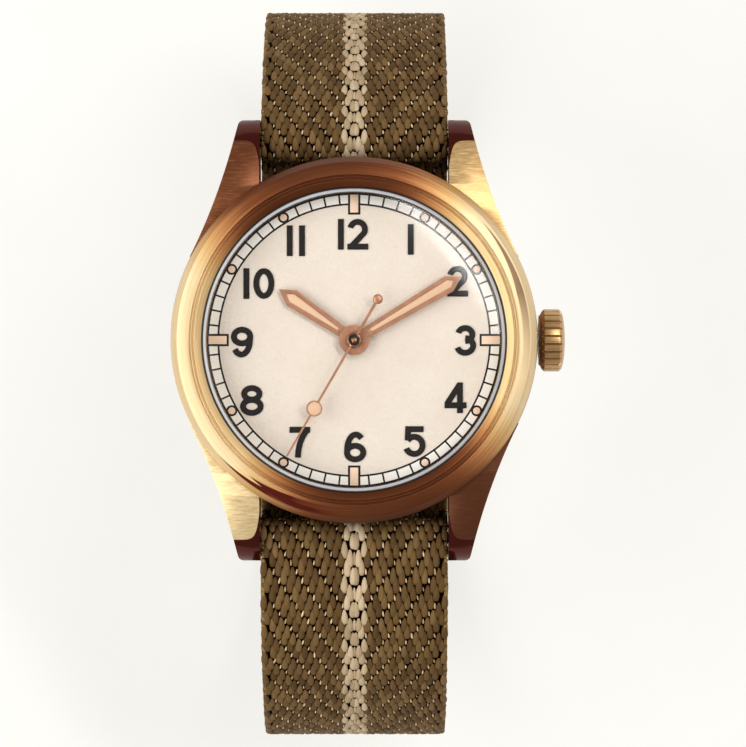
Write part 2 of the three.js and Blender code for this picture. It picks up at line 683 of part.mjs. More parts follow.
const WINDING_PINION_X = [10.2, 11.1];
const CLUTCH_X = [8.45, 10.05];
const ratchetDirection = Math.atan2(BARREL_AT[1] - CROWN_WHEEL_AT[1], BARREL_AT[0] - CROWN_WHEEL_AT[0]);
const crownWheelPhase = TURN / CROWN_WHEEL.teeth / 2;
const ratchetPhase = meshPhase(CROWN_WHEEL, crownWheelPhase, RATCHET, ratchetDirection);

part(head, 'ratchet_wheel', carve([extrude(gearShape(RATCHET, ratchetPhase), ...WINDING_LAYER)],
  [rod(0.25, 0, 6, 12)]), STEEL, [...BARREL_AT, 0]);

part(head, 'ratchet_screw', rod(0.9, 0.85, 1.1, 16), STEEL, [...BARREL_AT, 0]);

part(head, 'crown_wheel', carve([extrude(gearShape(CROWN_WHEEL, crownWheelPhase), ...WINDING_LAYER)],
  [rod(0.75, 0, 6, 16)]), STEEL, [...CROWN_WHEEL_AT, 0]);

part(head, 'crown_wheel_core', turned([
  [0, 0.9], [1.2, 0.9], [1.2, 1.1], [0.7, 1.1], [0.7, 1.52], [0, 1.52],
], 16), STEEL, [...CROWN_WHEEL_AT, 0]);

// Drawn as a gear about z, then laid along the stem with one tooth pointing to the crown wheel.
part(head, 'winding_pinion', carve(
  [extrudeX(gearShape(WINDING_PINION, -Math.PI / 2), ...WINDING_PINION_X)],
  [rodX(0.48, 6, 20)]), STEEL, [0, 0, STEM_Z]);

part(head, 'clutch_wheel', turnedX([
  [0.48, CLUTCH_X[0]], [0.9, CLUTCH_X[0]], [0.9, 8.95], [0.65, 9.05], [0.65, 9.45], [0.9, 9.55],
  [0.9, CLUTCH_X[1]], [0.48, CLUTCH_X[1]], [0.48, CLUTCH_X[0]],
], 12), STEEL, [0, 0, STEM_Z]);

// The click drops into the ratchet wheel; its spring lies beside it.
const clickDirection = degrees(100);
const CLICK_AT = polar(pitchRadius(RATCHET) + 1.35, clickDirection).map((value, i) => value + BARREL_AT[i]);

part(head, 'click', carve([
  rod(0.55, ...WINDING_LAYER, 16),
  extrude(polygon([[-0.3, -0.45], [0.3, -0.5], [1.6, -0.62], [1.75, -0.98], [1.3, -0.9], [-0.3, -0.55]]),
    ...WINDING_LAYER),
]), STEEL, [...CLICK_AT, 0]);

part(head, 'click_spring', extrude(ribbon(
  new THREE.QuadraticBezierCurve(new THREE.Vector2(1.6, 0.2), new THREE.Vector2(0.6, 1.2),
    new THREE.Vector2(-1.1, 0.75)).getPoints(6), 0.14), ...WINDING_LAYER), STEEL, [...CLICK_AT, 0]);

// The setting lever rides in the stem's groove, and the yoke in the clutch's groove.
const LEVER_AT = [11.3, -2.6];
const LEVER_NOSE = [0.25, 2.6];
part(head, 'setting_lever', carve([
  extrude(capsule([0, 0], LEVER_NOSE, 0.3), 3.7, 3.95, 4),
  rodAt(...LEVER_NOSE, 0.15, 3.4, 3.8, 8),
]), STEEL, [...LEVER_AT, 0]);

const YOKE_AT = [8.9, -3.4];
part(head, 'yoke', extrude(polygon([
  [-0.4, -0.3], [0.1, -0.5], [0.45, 0], [0.5, 2.85], [0.2, 2.85], [-0.3, 0.4],
]), 3.7, 3.95), STEEL, [...YOKE_AT, 0]);

// ---------------------------------------------------------------- band

// The inner layer's lower bend in (y, z); the free end lies outside it, one layer further out.
const innerBend = new THREE.CubicBezierCurve(
  new THREE.Vector2(13, INNER_LAYER_Z), new THREE.Vector2(24, INNER_LAYER_Z),
  new THREE.Vector2(NEAR_BULGE_Y, 9), new THREE.Vector2(NEAR_BULGE_Y, 21));

function tailLine(to, steps) {
  const points = [];
  for (let i = 0; i <= steps; i += 1) {
    const tangent = innerBend.getTangent((to * i) / steps);
    const outward = new THREE.Vector2(tangent.y, -tangent.x).multiplyScalar(INNER_LAYER_Z - TAIL_Z);
    points.push(innerBend.getPoint((to * i) / steps).add(outward));
  }
  return points;
}

// How far along the inner bend the free end reaches.
const TAIL_SHARE = 0.33;

// The middle line of the webbing in (y, z), from the buckle bar round to the free end.
function bandLine() {
  const path = new THREE.Path();
  const over = SPRING_BAR_R + 0.1 + BAND_THICKNESS / 2;
  const barZ = HEAD_Z + SPRING_BAR_Z;
  const turnR = 2.4;
  const turnZ = BAND_UNDER_CASE_Z + turnR;
  const turnY = SPRING_BAR_Y - over - turnR;
  const slope = degrees(44);
  const handle = 7;
  const leaveY = SPRING_BAR_Y + over * Math.sin(slope);
  const leaveZ = barZ + over * Math.cos(slope);
  path.moveTo(BUCKLE_Y + 1.2, INNER_LAYER_Z + 0.35);
  path.lineTo(BUCKLE_Y + 3, INNER_LAYER_Z);
  path.lineTo(innerBend.v0.x, innerBend.v0.y);
  path.curves.push(innerBend);
  path.currentPoint.copy(innerBend.v3);
  path.bezierCurveTo(NEAR_BULGE_Y, 33, leaveY + handle * Math.cos(slope), leaveZ - handle * Math.sin(slope),
    leaveY, leaveZ);
  path.absarc(SPRING_BAR_Y, barZ, over, Math.PI / 2 - slope, Math.PI);
  path.lineTo(SPRING_BAR_Y - over, turnZ);
  path.absarc(turnY, turnZ, turnR, 0, -Math.PI / 2, true);
  path.lineTo(-turnY, BAND_UNDER_CASE_Z);
  path.absarc(-turnY, turnZ, turnR, -Math.PI / 2, -Math.PI, true);
  path.lineTo(-SPRING_BAR_Y + over, barZ);
  path.absarc(-SPRING_BAR_Y, barZ, over, 0, Math.PI / 2);
  path.lineTo(-22.6, barZ + over);
  path.bezierCurveTo(-29.5, barZ + over, -FAR_BULGE_Y, 36, -FAR_BULGE_Y, 26.5);
  path.bezierCurveTo(-FAR_BULGE_Y, 12, -31, 4.2, -20.5, 2.95);
  path.bezierCurveTo(-19, 2.78, -17.5, 2.9, -16, 2.75);
  path.bezierCurveTo(-14.5, 2.55, -13.5, TAIL_Z, -11.5, TAIL_Z);
  const points = [];
  for (const curve of path.curves) {
    const isLine = curve instanceof THREE.LineCurve;
    for (const point of curve.getPoints(isLine ? 1 : 7)) {
      const last = points[points.length - 1];
      if (!last || last.distanceTo(point) > 1e-3) points.push(point);
    }
  }
  points.push(...tailLine(TAIL_SHARE, 4));
  return points;
}

const SEWN_END_R = 1.6;
const SLOT_HALF = 0.85;
const TONGUE_HOLE_Y = [-15.1, -11.6];
const EYELET_R = 0.8;
const EYELET_YS = [4.2, 11.2];

function band() {
  const webbing = extrudeX(ribbon(bandLine(), BAND_THICKNESS), -BAND_HALF_WIDTH, BAND_HALF_WIDTH);
  const sewnEnd = rodX(SEWN_END_R, -BAND_HALF_WIDTH, BAND_HALF_WIDTH, 20).translate(0, BUCKLE_Y, BUCKLE_Z);
  const barBore = rodX(BAR_HOLE_R, -10, 10).translate(0, BUCKLE_Y, BUCKLE_Z);
  const tongueSlot = box([-SLOT_HALF, BUCKLE_Y - 2.5, 2.05], [SLOT_HALF, BUCKLE_Y + 1.55, 6]);
  const tongueHole = box([-SLOT_HALF, TONGUE_HOLE_Y[0], 0.4], [SLOT_HALF, TONGUE_HOLE_Y[1], 4]);
  const eyelets = EYELET_YS.map((y) => rodAt(0, y, EYELET_R, 0, 2.0, 12));
  return carve([webbing, sewnEnd], [barBore, tongueSlot, tongueHole, ...eyelets]);
}

part(watch, 'strap_band', band(), WEBBING);

// ---------------------------------------------------------------- buckle and keepers

const ARM_X = [9.35, 10.6];
const ARM_R = 1.2;

function buckleFrame() {
  const armShape = capsule([BUCKLE_Y, BUCKLE_Z - 0.1], [OUTER_BAR_Y, OUTER_BAR_Z], ARM_R);
  const trim = box([-12, -30, -2], [12, 0, 0.85]);
  const arms = [1, -1].map((sign) => extrudeX(armShape,
    Math.min(sign * ARM_X[0], sign * ARM_X[1]), Math.max(sign * ARM_X[0], sign * ARM_X[1]), 8));
  const bar = rodX(OUTER_BAR_R, -10.2, 10.2, 16).translate(0, OUTER_BAR_Y, OUTER_BAR_Z);
  const pivots = rodX(BAR_HOLE_R, -12, 12).translate(0, BUCKLE_Y, BUCKLE_Z);
  return carve([...arms, bar], [pivots, trim]);
}

part(watch, 'buckle_frame', buckleFrame(), BRONZE);
part(watch, 'buckle_bar', rodX(BUCKLE_BAR_R, -10.5, 10.5), STEEL, [0, BUCKLE_Y, BUCKLE_Z]);

const TONGUE_HALF = 0.6;
const TONGUE_THICKNESS = 0.55;
const TONGUE_EYE_R = 1.15;

function buckleTongue() {
  const line = new THREE.Path();
  line.moveTo(-10, 3.35);
  line.lineTo(-12.2, 3.3);
  line.bezierCurveTo(-13.8, 3.2, -14.2, 0.5, -16, 0.5);
  line.lineTo(-18.6, 0.5);
  const prong = extrudeX(ribbon(line.getPoints(8), TONGUE_THICKNESS), -TONGUE_HALF, TONGUE_HALF);
  const eye = rodX(TONGUE_EYE_R, -TONGUE_HALF, TONGUE_HALF, 20).translate(0, BUCKLE_Y, BUCKLE_Z);
  return carve([prong, eye], [rodX(BAR_HOLE_R, -2, 2).translate(0, BUCKLE_Y, BUCKLE_Z)]);
}

part(watch, 'buckle_tongue', buckleTongue(), BRONZE);

// A metal band loop with rounded corners: a flat sole, two sides and a flat roof.
function keeper(length) {
  const shape = new THREE.Shape();
  const [halfWidth, height, corner, wall] = [9.75, 3.98, 1.0, 0.6];
  shape.moveTo(-halfWidth + corner, 0);
  shape.lineTo(halfWidth - corner, 0);
  shape.absarc(halfWidth - corner, corner, corner, -Math.PI / 2, 0);
  shape.absarc(halfWidth - corner, height - corner, corner, 0, Math.PI / 2);
  shape.absarc(-halfWidth + corner, height - corner, corner, Math.PI / 2, Math.PI);
  shape.absarc(-halfWidth + corner, corner, corner, Math.PI, Math.PI * 1.5);
  const hole = new THREE.Path([
    [-halfWidth + wall, wall], [-halfWidth + wall, height - wall],
    [halfWidth - wall, height - wall], [halfWidth - wall, wall],
  ].map(([x, z]) => new THREE.Vector2(x, z)));
  shape.holes.push(hole);
  const loop = extrude(shape, -length / 2, length / 2, 4);
  return loop.rotateX(Math.PI / 2);
}

part(watch, 'fixed_keeper', keeper(4), BRONZE, [0, -1, 0]);
part(watch, 'sliding_keeper', keeper(4), BRONZE, [0, 8, 0]);

export default watch;
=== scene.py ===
"""Looks of a hand-wound bronze wristwatch on a woven band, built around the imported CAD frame."""

import math

import bmesh
import bpy
import numpy as np
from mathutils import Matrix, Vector
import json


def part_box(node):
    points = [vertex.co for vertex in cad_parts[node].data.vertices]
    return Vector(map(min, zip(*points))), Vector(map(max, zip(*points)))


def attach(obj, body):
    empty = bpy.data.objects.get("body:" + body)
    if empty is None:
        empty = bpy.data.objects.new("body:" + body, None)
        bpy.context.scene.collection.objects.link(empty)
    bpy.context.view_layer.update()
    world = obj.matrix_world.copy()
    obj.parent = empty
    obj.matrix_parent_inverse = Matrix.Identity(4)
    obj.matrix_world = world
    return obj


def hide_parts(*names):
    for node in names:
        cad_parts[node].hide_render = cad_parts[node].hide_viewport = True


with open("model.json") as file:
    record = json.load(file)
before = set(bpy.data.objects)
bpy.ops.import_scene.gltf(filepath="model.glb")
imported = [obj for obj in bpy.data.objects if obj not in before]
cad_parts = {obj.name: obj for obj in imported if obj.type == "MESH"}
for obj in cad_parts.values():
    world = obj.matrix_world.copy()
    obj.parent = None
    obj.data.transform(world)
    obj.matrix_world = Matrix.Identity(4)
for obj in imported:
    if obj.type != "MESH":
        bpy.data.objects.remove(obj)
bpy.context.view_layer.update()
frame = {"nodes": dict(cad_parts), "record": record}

MM = 0.001
TURN = 2 * math.pi

# ---- driving sizes, in millimetres

HEAD_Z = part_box("case_back")[0].z / MM          # outer face of the case back
DIAL_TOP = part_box("dial")[1].z / MM
STEM_Z = HEAD_Z + 3.1
CASE_R = 17.55
BORE_R = 14.5
LUG_INNER_X = 9.08
LUG_TIP_Y = 21.25
BAR_Y = 19.15
BAR_Z = HEAD_Z + 1.8

TRACK_OUTER_R = 13.98
TRACK_INNER_R = 13.0
HOUR_ANGLE = 304.0
MINUTE_ANGLE = 59.3
SECOND_ANGLE = 210.1

BAND_THICKNESS = 1.2
FLOAT_PERIOD = 3.45                              # length of one repeat of the weave
COLUMNS = 64                                     # warp columns across the band
STRIPE_COLUMNS = 8                               # pale columns in the middle

rng = np.random.default_rng(7)


# ---- mesh helpers

def edit(mesh, change):
    """Runs change on the mesh in its editable form."""
    bm = bmesh.new()
    bm.from_mesh(mesh)
    change(bm)
    bm.to_mesh(mesh)
    bm.free()


def shade(mesh, angle):
    """Smooth faces, with the edges sharper than angle left sharp."""
    def change(bm):
        for face in bm.faces:
            face.smooth = True
        for edge in bm.edges:
            edge.smooth = len(edge.link_faces) == 2 and edge.calc_face_angle(0) < math.radians(angle)

    edit(mesh, change)


def outward(mesh):
    edit(mesh, lambda bm: bmesh.ops.recalc_face_normals(bm, faces=bm.faces))


def add_object(name, data):
    thing = bpy.data.objects.new(name, data)
    bpy.context.scene.collection.objects.link(thing)
    return thing


def raw_object(name, verts, faces):
    """An object from millimetre points."""
    mesh = bpy.data.meshes.new(name)
    mesh.from_pydata([tuple(c * MM for c in v) for v in verts], [], faces)
    mesh.update()
    return add_object(name, mesh)


def settle(thing, body, material, replaces=(), angle=35.0):
    """Gives a finished piece its shading, material, body and the CAD nodes that it stands for."""
    if angle is not None:
        outward(thing.data)
        shade(thing.data, angle)
    thing.data.materials.clear()
    thing.data.materials.append(material)
    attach(thing, body)
    if replaces:
        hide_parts(*replaces)
    return thing


def apply_modifiers(thing):
    """Replaces the object's mesh by its evaluated one."""
    graph = bpy.context.evaluated_depsgraph_get()
    graph.update()
    fresh = bpy.data.meshes.new_from_object(thing.evaluated_get(graph))
    thing.modifiers.clear()
    thing.data = fresh
    return thing


def boolean(thing, other, operation):
    """Joins or cuts thing with other, which is then removed."""
    modifier = thing.modifiers.new("cut", "BOOLEAN")
    modifier.operation = operation
    modifier.solver = "EXACT"
    modifier.object = other
    apply_modifiers(thing)
    bpy.data.objects.remove(other)
    return thing


def cut(thing, tool):
    return boolean(thing, tool, "DIFFERENCE")


def join(thing, other):
    return boolean(thing, other, "UNION")


def bevel(thing, width, segments=2, angle=30.0):
    modifier = thing.modifiers.new("bevel", "BEVEL")
    modifier.width = width * MM
    modifier.segments = segments
    modifier.limit_method = "ANGLE"
    modifier.angle_limit = math.radians(angle)
    modifier.use_clamp_overlap = True
    return apply_modifiers(thing)


def filleted(points, radius, steps=3, closed=False):
    """The same line of 2-D points with each corner rounded by up to radius."""
    result = []
    count = len(points)
    for i, here in enumerate(points):
        if not closed and i in (0, count - 1):
            result.append(tuple(here))
            continue
        here = Vector(here)
        before = Vector(points[i - 1]) - here
        after = Vector(points[(i + 1) % count]) - here
        reach = min(radius, before.length * 0.45, after.length * 0.45)
        start = here + before.normalized() * reach
        end = here + after.normalized() * reach
        for k in range(steps + 1):
            t = k / steps
            point = start * (1 - t) ** 2 + here * (2 * t * (1 - t)) + end * t ** 2
            result.append(tuple(point))
    return result


def quads(a, b, count):
    """The faces between two closed rings of count points that start at a and at b."""
    return [(a + i, a + (i + 1) % count, b + (i + 1) % count, b + i) for i in range(count)]


def lathe(name, profile, segments=192, closed=False, axis="z", at=(0, 0, 0)):
    """A profile of (radius, height) turned about an axis through at. An open one starts and ends on it."""
    verts, faces, rings = [], [], []
    for r, h in profile:
        if r < 1e-6:
            rings.append([len(verts)])
            verts.append((0, 0, h))
        else:
            rings.append(list(range(len(verts), len(verts) + segments)))
            verts += [(r * math.cos(TURN * i / segments), r * math.sin(TURN * i / segments), h)
                      for i in range(segments)]
    pairs = list(zip(rings, rings[1:]))
    if closed:
        pairs.append((rings[-1], rings[0]))
    for a, b in pairs:
        for i in range(segments):
            j = (i + 1) % segments
            if len(a) == 1 and len(b) == 1:
                continue
            if len(a) == 1:
                faces.append((a[0], b[i], b[j]))
            elif len(b) == 1:
                faces.append((a[i], a[j], b[0]))
            else:
                faces.append((a[i], a[j], b[j], b[i]))
    if axis == "x":
        verts = [(z, x, y) for x, y, z in verts]
    verts = [tuple(c + o for c, o in zip(v, at)) for v in verts]
    thing = raw_object(name, verts, faces)
    outward(thing.data)
    return thing


def cylinder(radius, low, high, segments=48, **place):
    """A solid cylinder, as a body to join or a tool to cut with."""
    return lathe("cylinder", [(0, low), (radius, low), (radius, high), (0, high)], segments, **place)


def prism(name, outline, low, high, axis="z"):
    """A polygon extruded from low to high. On axis x, the outline is in (y, z)."""
    count = len(outline)
    verts = [(x, y, low) for x, y in outline] + [(x, y, high) for x, y in outline]
    faces = [tuple(range(count - 1, -1, -1)), tuple(range(count, 2 * count))]
    faces += quads(0, count, count)
    if axis == "x":
        verts = [(h, y, z) for y, z, h in verts]
    thing = raw_object(name, verts, faces)
    outward(thing.data)
    return thing


def bezier(p0, p1, p2, p3, steps):
    points = []
    for i in range(steps + 1):
        t = i / steps
        points.append(tuple((1 - t) ** 3 * a + 3 * (1 - t) ** 2 * t * b + 3 * (1 - t) * t * t * c + t ** 3 * d
                            for a, b, c, d in zip(p0, p1, p2, p3)))
    return points


def ellipse(cx, cy, rx, ry, start=0.0, end=360.0, steps=40):
    """Points on an ellipse, angles in degrees."""
    angles = [math.radians(start + (end - start) * i / steps) for i in range(steps + 1)]
    return [(cx + rx * math.cos(a), cy + ry * math.sin(a)) for a in angles]


def arc(centre, radius, start, end, steps):
    return ellipse(*centre, radius, radius, start, end, steps)


def clock(radius, degrees):
    """A point on the dial at a clockwise angle from 12 o'clock."""
    return radius * math.sin(math.radians(degrees)), radius * math.cos(math.radians(degrees))


# ---- materials

def srgb(r, g, b):
    """An 8-bit display colour as scene-linear values."""
    return tuple((c / 12.92 if c <= 0.04045 else ((c + 0.055) / 1.055) ** 2.4)
                 for c in (r / 255, g / 255, b / 255)) + (1.0,)


class Tree:
    """A small node-tree writer for one material with a Principled shader."""

    def __init__(self, name):
        self.material = bpy.data.materials.new(name)
        self.material.use_nodes = True
        self.nodes = self.material.node_tree.nodes
        self.links = self.material.node_tree.links
        self.shader = self.nodes["Principled BSDF"]

    def set(self, **values):
        for key, value in values.items():
            self.shader.inputs[key.replace("_", " ")].default_value = value
        return self

    def node(self, kind, inputs=None, **settings):
        node = self.nodes.new(kind)
        for key, value in settings.items():
            setattr(node, key, value)
        for key, value in (inputs or {}).items():
            if isinstance(value, bpy.types.NodeSocket):
                self.links.new(value, node.inputs[key])
            else:
                node.inputs[key].default_value = value
        return node

    def link(self, socket, name):
        self.links.new(socket, self.shader.inputs[name])

    def coords(self, kind="Object"):
        return self.node("ShaderNodeTexCoord").outputs[kind]

    def maths(self, operation, a, b=0.0, clamp=False):
        return self.node("ShaderNodeMath", {0: a, 1: b}, operation=operation, use_clamp=clamp).outputs[0]

    def times(self, a, b, clamp=False):
        return self.maths("MULTIPLY", a, b, clamp)

    def plus(self, a, b, clamp=False):
        return self.maths("ADD", a, b, clamp)

    def minus(self, a, b, clamp=False):
        return self.maths("SUBTRACT", a, b, clamp)

    def blend(self, a, b, share):
        """The share of a, and the rest of b."""
        return self.plus(self.times(a, share), self.times(b, 1 - share))

    def scaled(self, vector, scale, rotation=(0, 0, 0)):
        inputs = {"Vector": vector, "Scale": scale, "Rotation": rotation}
        return self.node("ShaderNodeMapping", inputs).outputs[0]

    def noise(self, vector, scale, detail=3.0, roughness=0.55):
        return self.node("ShaderNodeTexNoise", {"Vector": vector, "Scale": scale, "Detail": detail,
                                                "Roughness": roughness}).outputs["Fac"]

    def ramp(self, factor, stops):
        node = self.node("ShaderNodeValToRGB", {"Fac": factor})
        elements = node.color_ramp.elements
        while len(elements) < len(stops):
            elements.new(0.5)
        for element, (position, colour) in zip(elements, stops):
            element.position = position
            element.color = colour
        return node.outputs["Color"]

    def spread(self, value, from_low, from_high, to_low, to_high):
        return self.node("ShaderNodeMapRange", {"Value": value, "From Min": from_low, "From Max": from_high,
                                                "To Min": to_low, "To Max": to_high}).outputs[0]

    def tone(self, value, dark, light, low=0.3, high=0.7):
        """Base colour between two display colours."""
        self.link(self.ramp(value, [(low, srgb(*dark)), (high, srgb(*light))]), "Base Color")

    def roughness(self, value, low, high):
        self.link(self.spread(value, 0.3, 0.7, low, high), "Roughness")

    def brushed_round(self):
        """Reflections drawn out across scratches that run round the dial axis."""
        self.link(self.node("ShaderNodeTangent", direction_type="RADIAL", axis="Z").outputs[0], "Tangent")

    def clamped(self, value, start, end):
        """0 at start and 1 at end, held beyond them."""
        return self.spread(value, start, end, 0.0, 1.0)

    def product(self, first, *others):
        for other in others:
            first = self.times(first, other)
        return first

    def mix(self, factor, a, b):
        node = self.node("ShaderNodeMix", data_type="RGBA")
        for socket, value in ((node.inputs["Factor"], factor), (node.inputs[6], a), (node.inputs[7], b)):
            if isinstance(value, bpy.types.NodeSocket):
                self.links.new(value, socket)
            else:
                socket.default_value = value
        return node.outputs[2]

    def bump(self, height, strength=0.3, distance=0.05):
        inputs = {"Height": height, "Strength": strength, "Distance": distance * MM}
        self.link(self.node("ShaderNodeBump", inputs).outputs[0], "Normal")

    def polar(self):
        """Object coordinates as (radius in mm, angle, height in mm)."""
        split = self.node("ShaderNodeSeparateXYZ", {0: self.coords()})
        x, y, z = split.outputs
        squares = self.plus(self.times(x, x), self.times(y, y))
        radius = self.times(self.maths("SQRT", squares), 1 / MM)
        inputs = {0: radius, 1: self.maths("ARCTAN2", y, x), 2: self.times(z, 1 / MM)}
        return self.node("ShaderNodeCombineXYZ", inputs).outputs[0]


BRONZE_LIGHT = srgb(222, 198, 156)
BRONZE_GOLD = srgb(202, 163, 106)
BRONZE_MID = srgb(178, 122, 74)
BRONZE_DARK = srgb(122, 68, 36)
# The deepest colour is dark oxide in the bezel's tongues and a painted dark reflection on the lug tips.
BRONZE_DEEP_OXIDE_AND_PAINTED_REFLECTION = srgb(74, 16, 3)


def bronze_tones(tree, factor, darkest, lightest):
    """Bronze colours from darkest to lightest, along a factor that carries painted highlight and shade as
    well as the metal's own tone.
    """
    return tree.ramp(factor, [(0.0, darkest), (0.25, BRONZE_DARK), (0.5, BRONZE_MID), (0.72, BRONZE_GOLD),
                              (1.0, lightest)])


def streak(tree, radius, angle, begin, full, end, middle, inwards, outwards):
    """A tongue of dark oxide: a point at angle begin, opening both ways from its middle radius until full,
    and gone at end (degrees)."""
    begin, full, end = (math.radians(a) for a in (begin, full, end))
    opening = tree.clamped(angle, begin, full)
    fading = tree.clamped(angle, end, full)
    low = tree.minus(middle, tree.times(opening, inwards))
    high = tree.plus(middle, tree.times(opening, outwards))
    inside = tree.times(tree.minus(radius, low), 14.0, clamp=True)
    below = tree.times(tree.minus(high, radius), 14.0, clamp=True)
    begun = tree.times(opening, 20.0, clamp=True)
    return tree.product(inside, below, fading, begun)


def circular_brushed_bronze():
    """Bronze turned on a lathe: rings of fine scratches, painted highlight and shade in sectors round the
    bezel, and tongues of dark oxide.
    """
    tree = Tree("bronze_circular")
    polar = tree.polar()
    rings = tree.noise(tree.scaled(polar, (14.0, 1.2, 10.0)), 1.0, 4.0, 0.6)
    fine = tree.noise(tree.scaled(polar, (60.0, 5.0, 40.0)), 1.0, 2.0, 0.5)
    radius, angle, _ = tree.node("ShaderNodeSeparateXYZ", {0: polar}).outputs
    # Painted highlight and shade: by twice the angle round the bezel, two light and two dark sectors stand in
    # for the lamps' reflections in the round brushing. The ring noise adds grain, and the inner slope inside
    # 15.75 mm is made a little darker.
    double = tree.maths("COSINE", tree.minus(tree.times(angle, 2.0), 0.42))
    painted_sheen_and_rings = tree.spread(double, -1.0, 1.0, -0.03, 1.45)
    painted_sheen_and_rings = tree.plus(tree.clamped(painted_sheen_and_rings, 0.0, 1.0), tree.spread(rings, 0.3, 0.7, -0.16, 0.1))
    inner = tree.clamped(radius, 15.75, 15.6)
    painted_sheen_and_rings = tree.minus(painted_sheen_and_rings, tree.times(inner, 0.14), clamp=True)
    colour = bronze_tones(tree, painted_sheen_and_rings, srgb(92, 48, 23), BRONZE_LIGHT)
    # Two tongues run together on the lower left, and a weaker one lies on the upper right.
    dark = streak(tree, radius, angle, -143.0, -120.0, -92.0, 16.93, 0.5, 0.04)
    dark = tree.plus(dark, streak(tree, radius, angle, -129.0, -112.0, -92.0, 16.3, 0.35, 0.6), clamp=True)
    right = streak(tree, radius, angle, 46.0, 16.0, -12.0, 16.6, 0.55, 0.2)
    dark = tree.plus(dark, tree.times(right, 0.75), clamp=True)
    tree.link(tree.mix(dark, colour, BRONZE_DEEP_OXIDE_AND_PAINTED_REFLECTION), "Base Color")
    tree.roughness(fine, 0.41, 0.55)
    tree.set(Metallic=0.62, Anisotropic=0.6, Specular_IOR_Level=0.2)
    tree.brushed_round()
    tree.bump(tree.plus(rings, fine), 0.15, 0.006)
    return tree.material


def brushed_case_bronze():
    """The case's lugs: straight brushing across the top, painted highlight and shade lug by lug, and polished
    tips painted dark as a reflection.
    """
    tree = Tree("bronze_case")
    split = tree.node("ShaderNodeSeparateXYZ", {0: tree.coords()})
    x, y, z = split.outputs
    ax = tree.times(tree.maths("ABSOLUTE", x), 1 / MM)
    ay = tree.times(tree.maths("ABSOLUTE", y), 1 / MM)
    streaks = tree.noise(tree.scaled(tree.coords(), (900.0, 9000.0, 2500.0), (0, 0, 0.45)), 1.0, 4.0, 0.6)
    # Painted highlight and shade: the upper-right and lower-left lugs lighter, the other two darker, and the
    # left-hand lugs a little lighter again, as the lamps light them.
    side = tree.plus(tree.times(tree.times(x, y), 4.0e3), 0.5, clamp=True)
    side = tree.plus(tree.spread(side, 0.0, 1.0, 0.08, 0.84), tree.times(x, -10.0))
    tone = tree.plus(side, tree.spread(streaks, 0.3, 0.7, -0.15, 0.15), clamp=True)
    colour = bronze_tones(tree, tone, srgb(94, 50, 26), srgb(254, 226, 172))
    # The polished tip, painted dark as a reflection of dark surroundings, begins at y = 19.1 mm and runs up
    # the inner edge in a curve.
    inner = tree.minus(ax, LUG_INNER_X)
    reach = tree.times(tree.maths("POWER", 2.0, tree.times(inner, -5.0)), 2.6)
    edge = tree.minus(ay, tree.minus(19.1, reach))
    tip = tree.times(edge, 12.0, clamp=True)
    low = tree.times(tree.minus(tree.times(z, 1 / MM), HEAD_Z + 3.9), 3.0,
                     clamp=True)
    # Painted dark reflection on the polished tips.
    tree.link(tree.mix(tip, colour, BRONZE_DEEP_OXIDE_AND_PAINTED_REFLECTION), "Base Color")
    rough = tree.spread(streaks, 0.3, 0.7, 0.3, 0.45)
    tree.link(tree.minus(rough, tree.times(tip, 0.26)), "Roughness")
    tree.set(Metallic=0.65)
    tree.bump(tree.times(streaks, tree.times(low, tree.minus(1.0, tip))),
              0.14, 0.01)
    return tree.material


def brushed_metal(name, light, dark, roughness=0.3, scale=(400.0, 9000.0, 2500.0), strength=0.2,
                  metallic=1.0):
    """A straight-brushed metal with a little variation in tone."""
    tree = Tree(name)
    streaks = tree.noise(tree.scaled(tree.coords(), scale), 1.0, 4.0, 0.6)
    broad = tree.noise(tree.coords(), 150.0, 2.0)
    tree.tone(tree.blend(streaks, broad, 0.6), dark, light)
    tree.roughness(streaks, roughness - 0.08, roughness + 0.08)
    tree.set(Metallic=metallic)
    tree.bump(streaks, strength, 0.01)
    return tree.material


def polished_metal(name, light, dark, roughness=0.12):
    tree = Tree(name)
    broad = tree.noise(tree.coords(), 500.0, 3.0)
    tree.tone(broad, dark, light)
    tree.roughness(broad, roughness, roughness + 0.1)
    tree.set(Metallic=1.0)
    tree.bump(tree.noise(tree.coords(), 9000.0, 2.0), 0.05, 0.004)
    return tree.material


def grained_paint(name, light, dark, roughness=0.55, grain=9000.0, strength=0.25, depth=0.02, specular=0.5):
    """Paint with a fine pebbled grain."""
    tree = Tree(name)
    pebble = tree.noise(tree.coords(), grain, 4.0, 0.6)
    cloud = tree.noise(tree.coords(), 220.0, 3.0)
    tree.tone(tree.blend(pebble, cloud, 0.5), dark, light, 0.35, 0.65)
    tree.roughness(pebble, roughness - 0.06, roughness + 0.06)
    tree.set(Specular_IOR_Level=specular)
    tree.bump(pebble, strength, depth)
    return tree.material


def crystal_glass():
    """Clear coated glass that lets lamps through and mirrors a little, by angle."""
    tree = Tree("crystal_glass")
    fresnel = tree.node("ShaderNodeFresnel", {"IOR": 1.5})
    behind = tree.node("ShaderNodeNewGeometry").outputs["Backfacing"]
    front = tree.times(fresnel.outputs[0], tree.minus(1.0, behind))
    coated = tree.plus(tree.times(front, 0.5), tree.times(behind, 0.015))
    clear = tree.node("ShaderNodeBsdfTransparent", {"Color": (0.995, 0.998, 0.998, 1)})
    smudge = tree.spread(tree.noise(tree.coords(), 300.0, 2.0), 0.3, 0.7, 0.1, 0.14)
    mirror = tree.node("ShaderNodeBsdfGlossy", {"Roughness": smudge})
    mixer = tree.node("ShaderNodeMixShader", {0: coated, 1: clear.outputs[0], 2: mirror.outputs[0]})
    output = tree.nodes["Material Output"]
    tree.links.new(mixer.outputs[0], output.inputs["Surface"])
    tree.nodes.remove(tree.shader)
    return tree.material


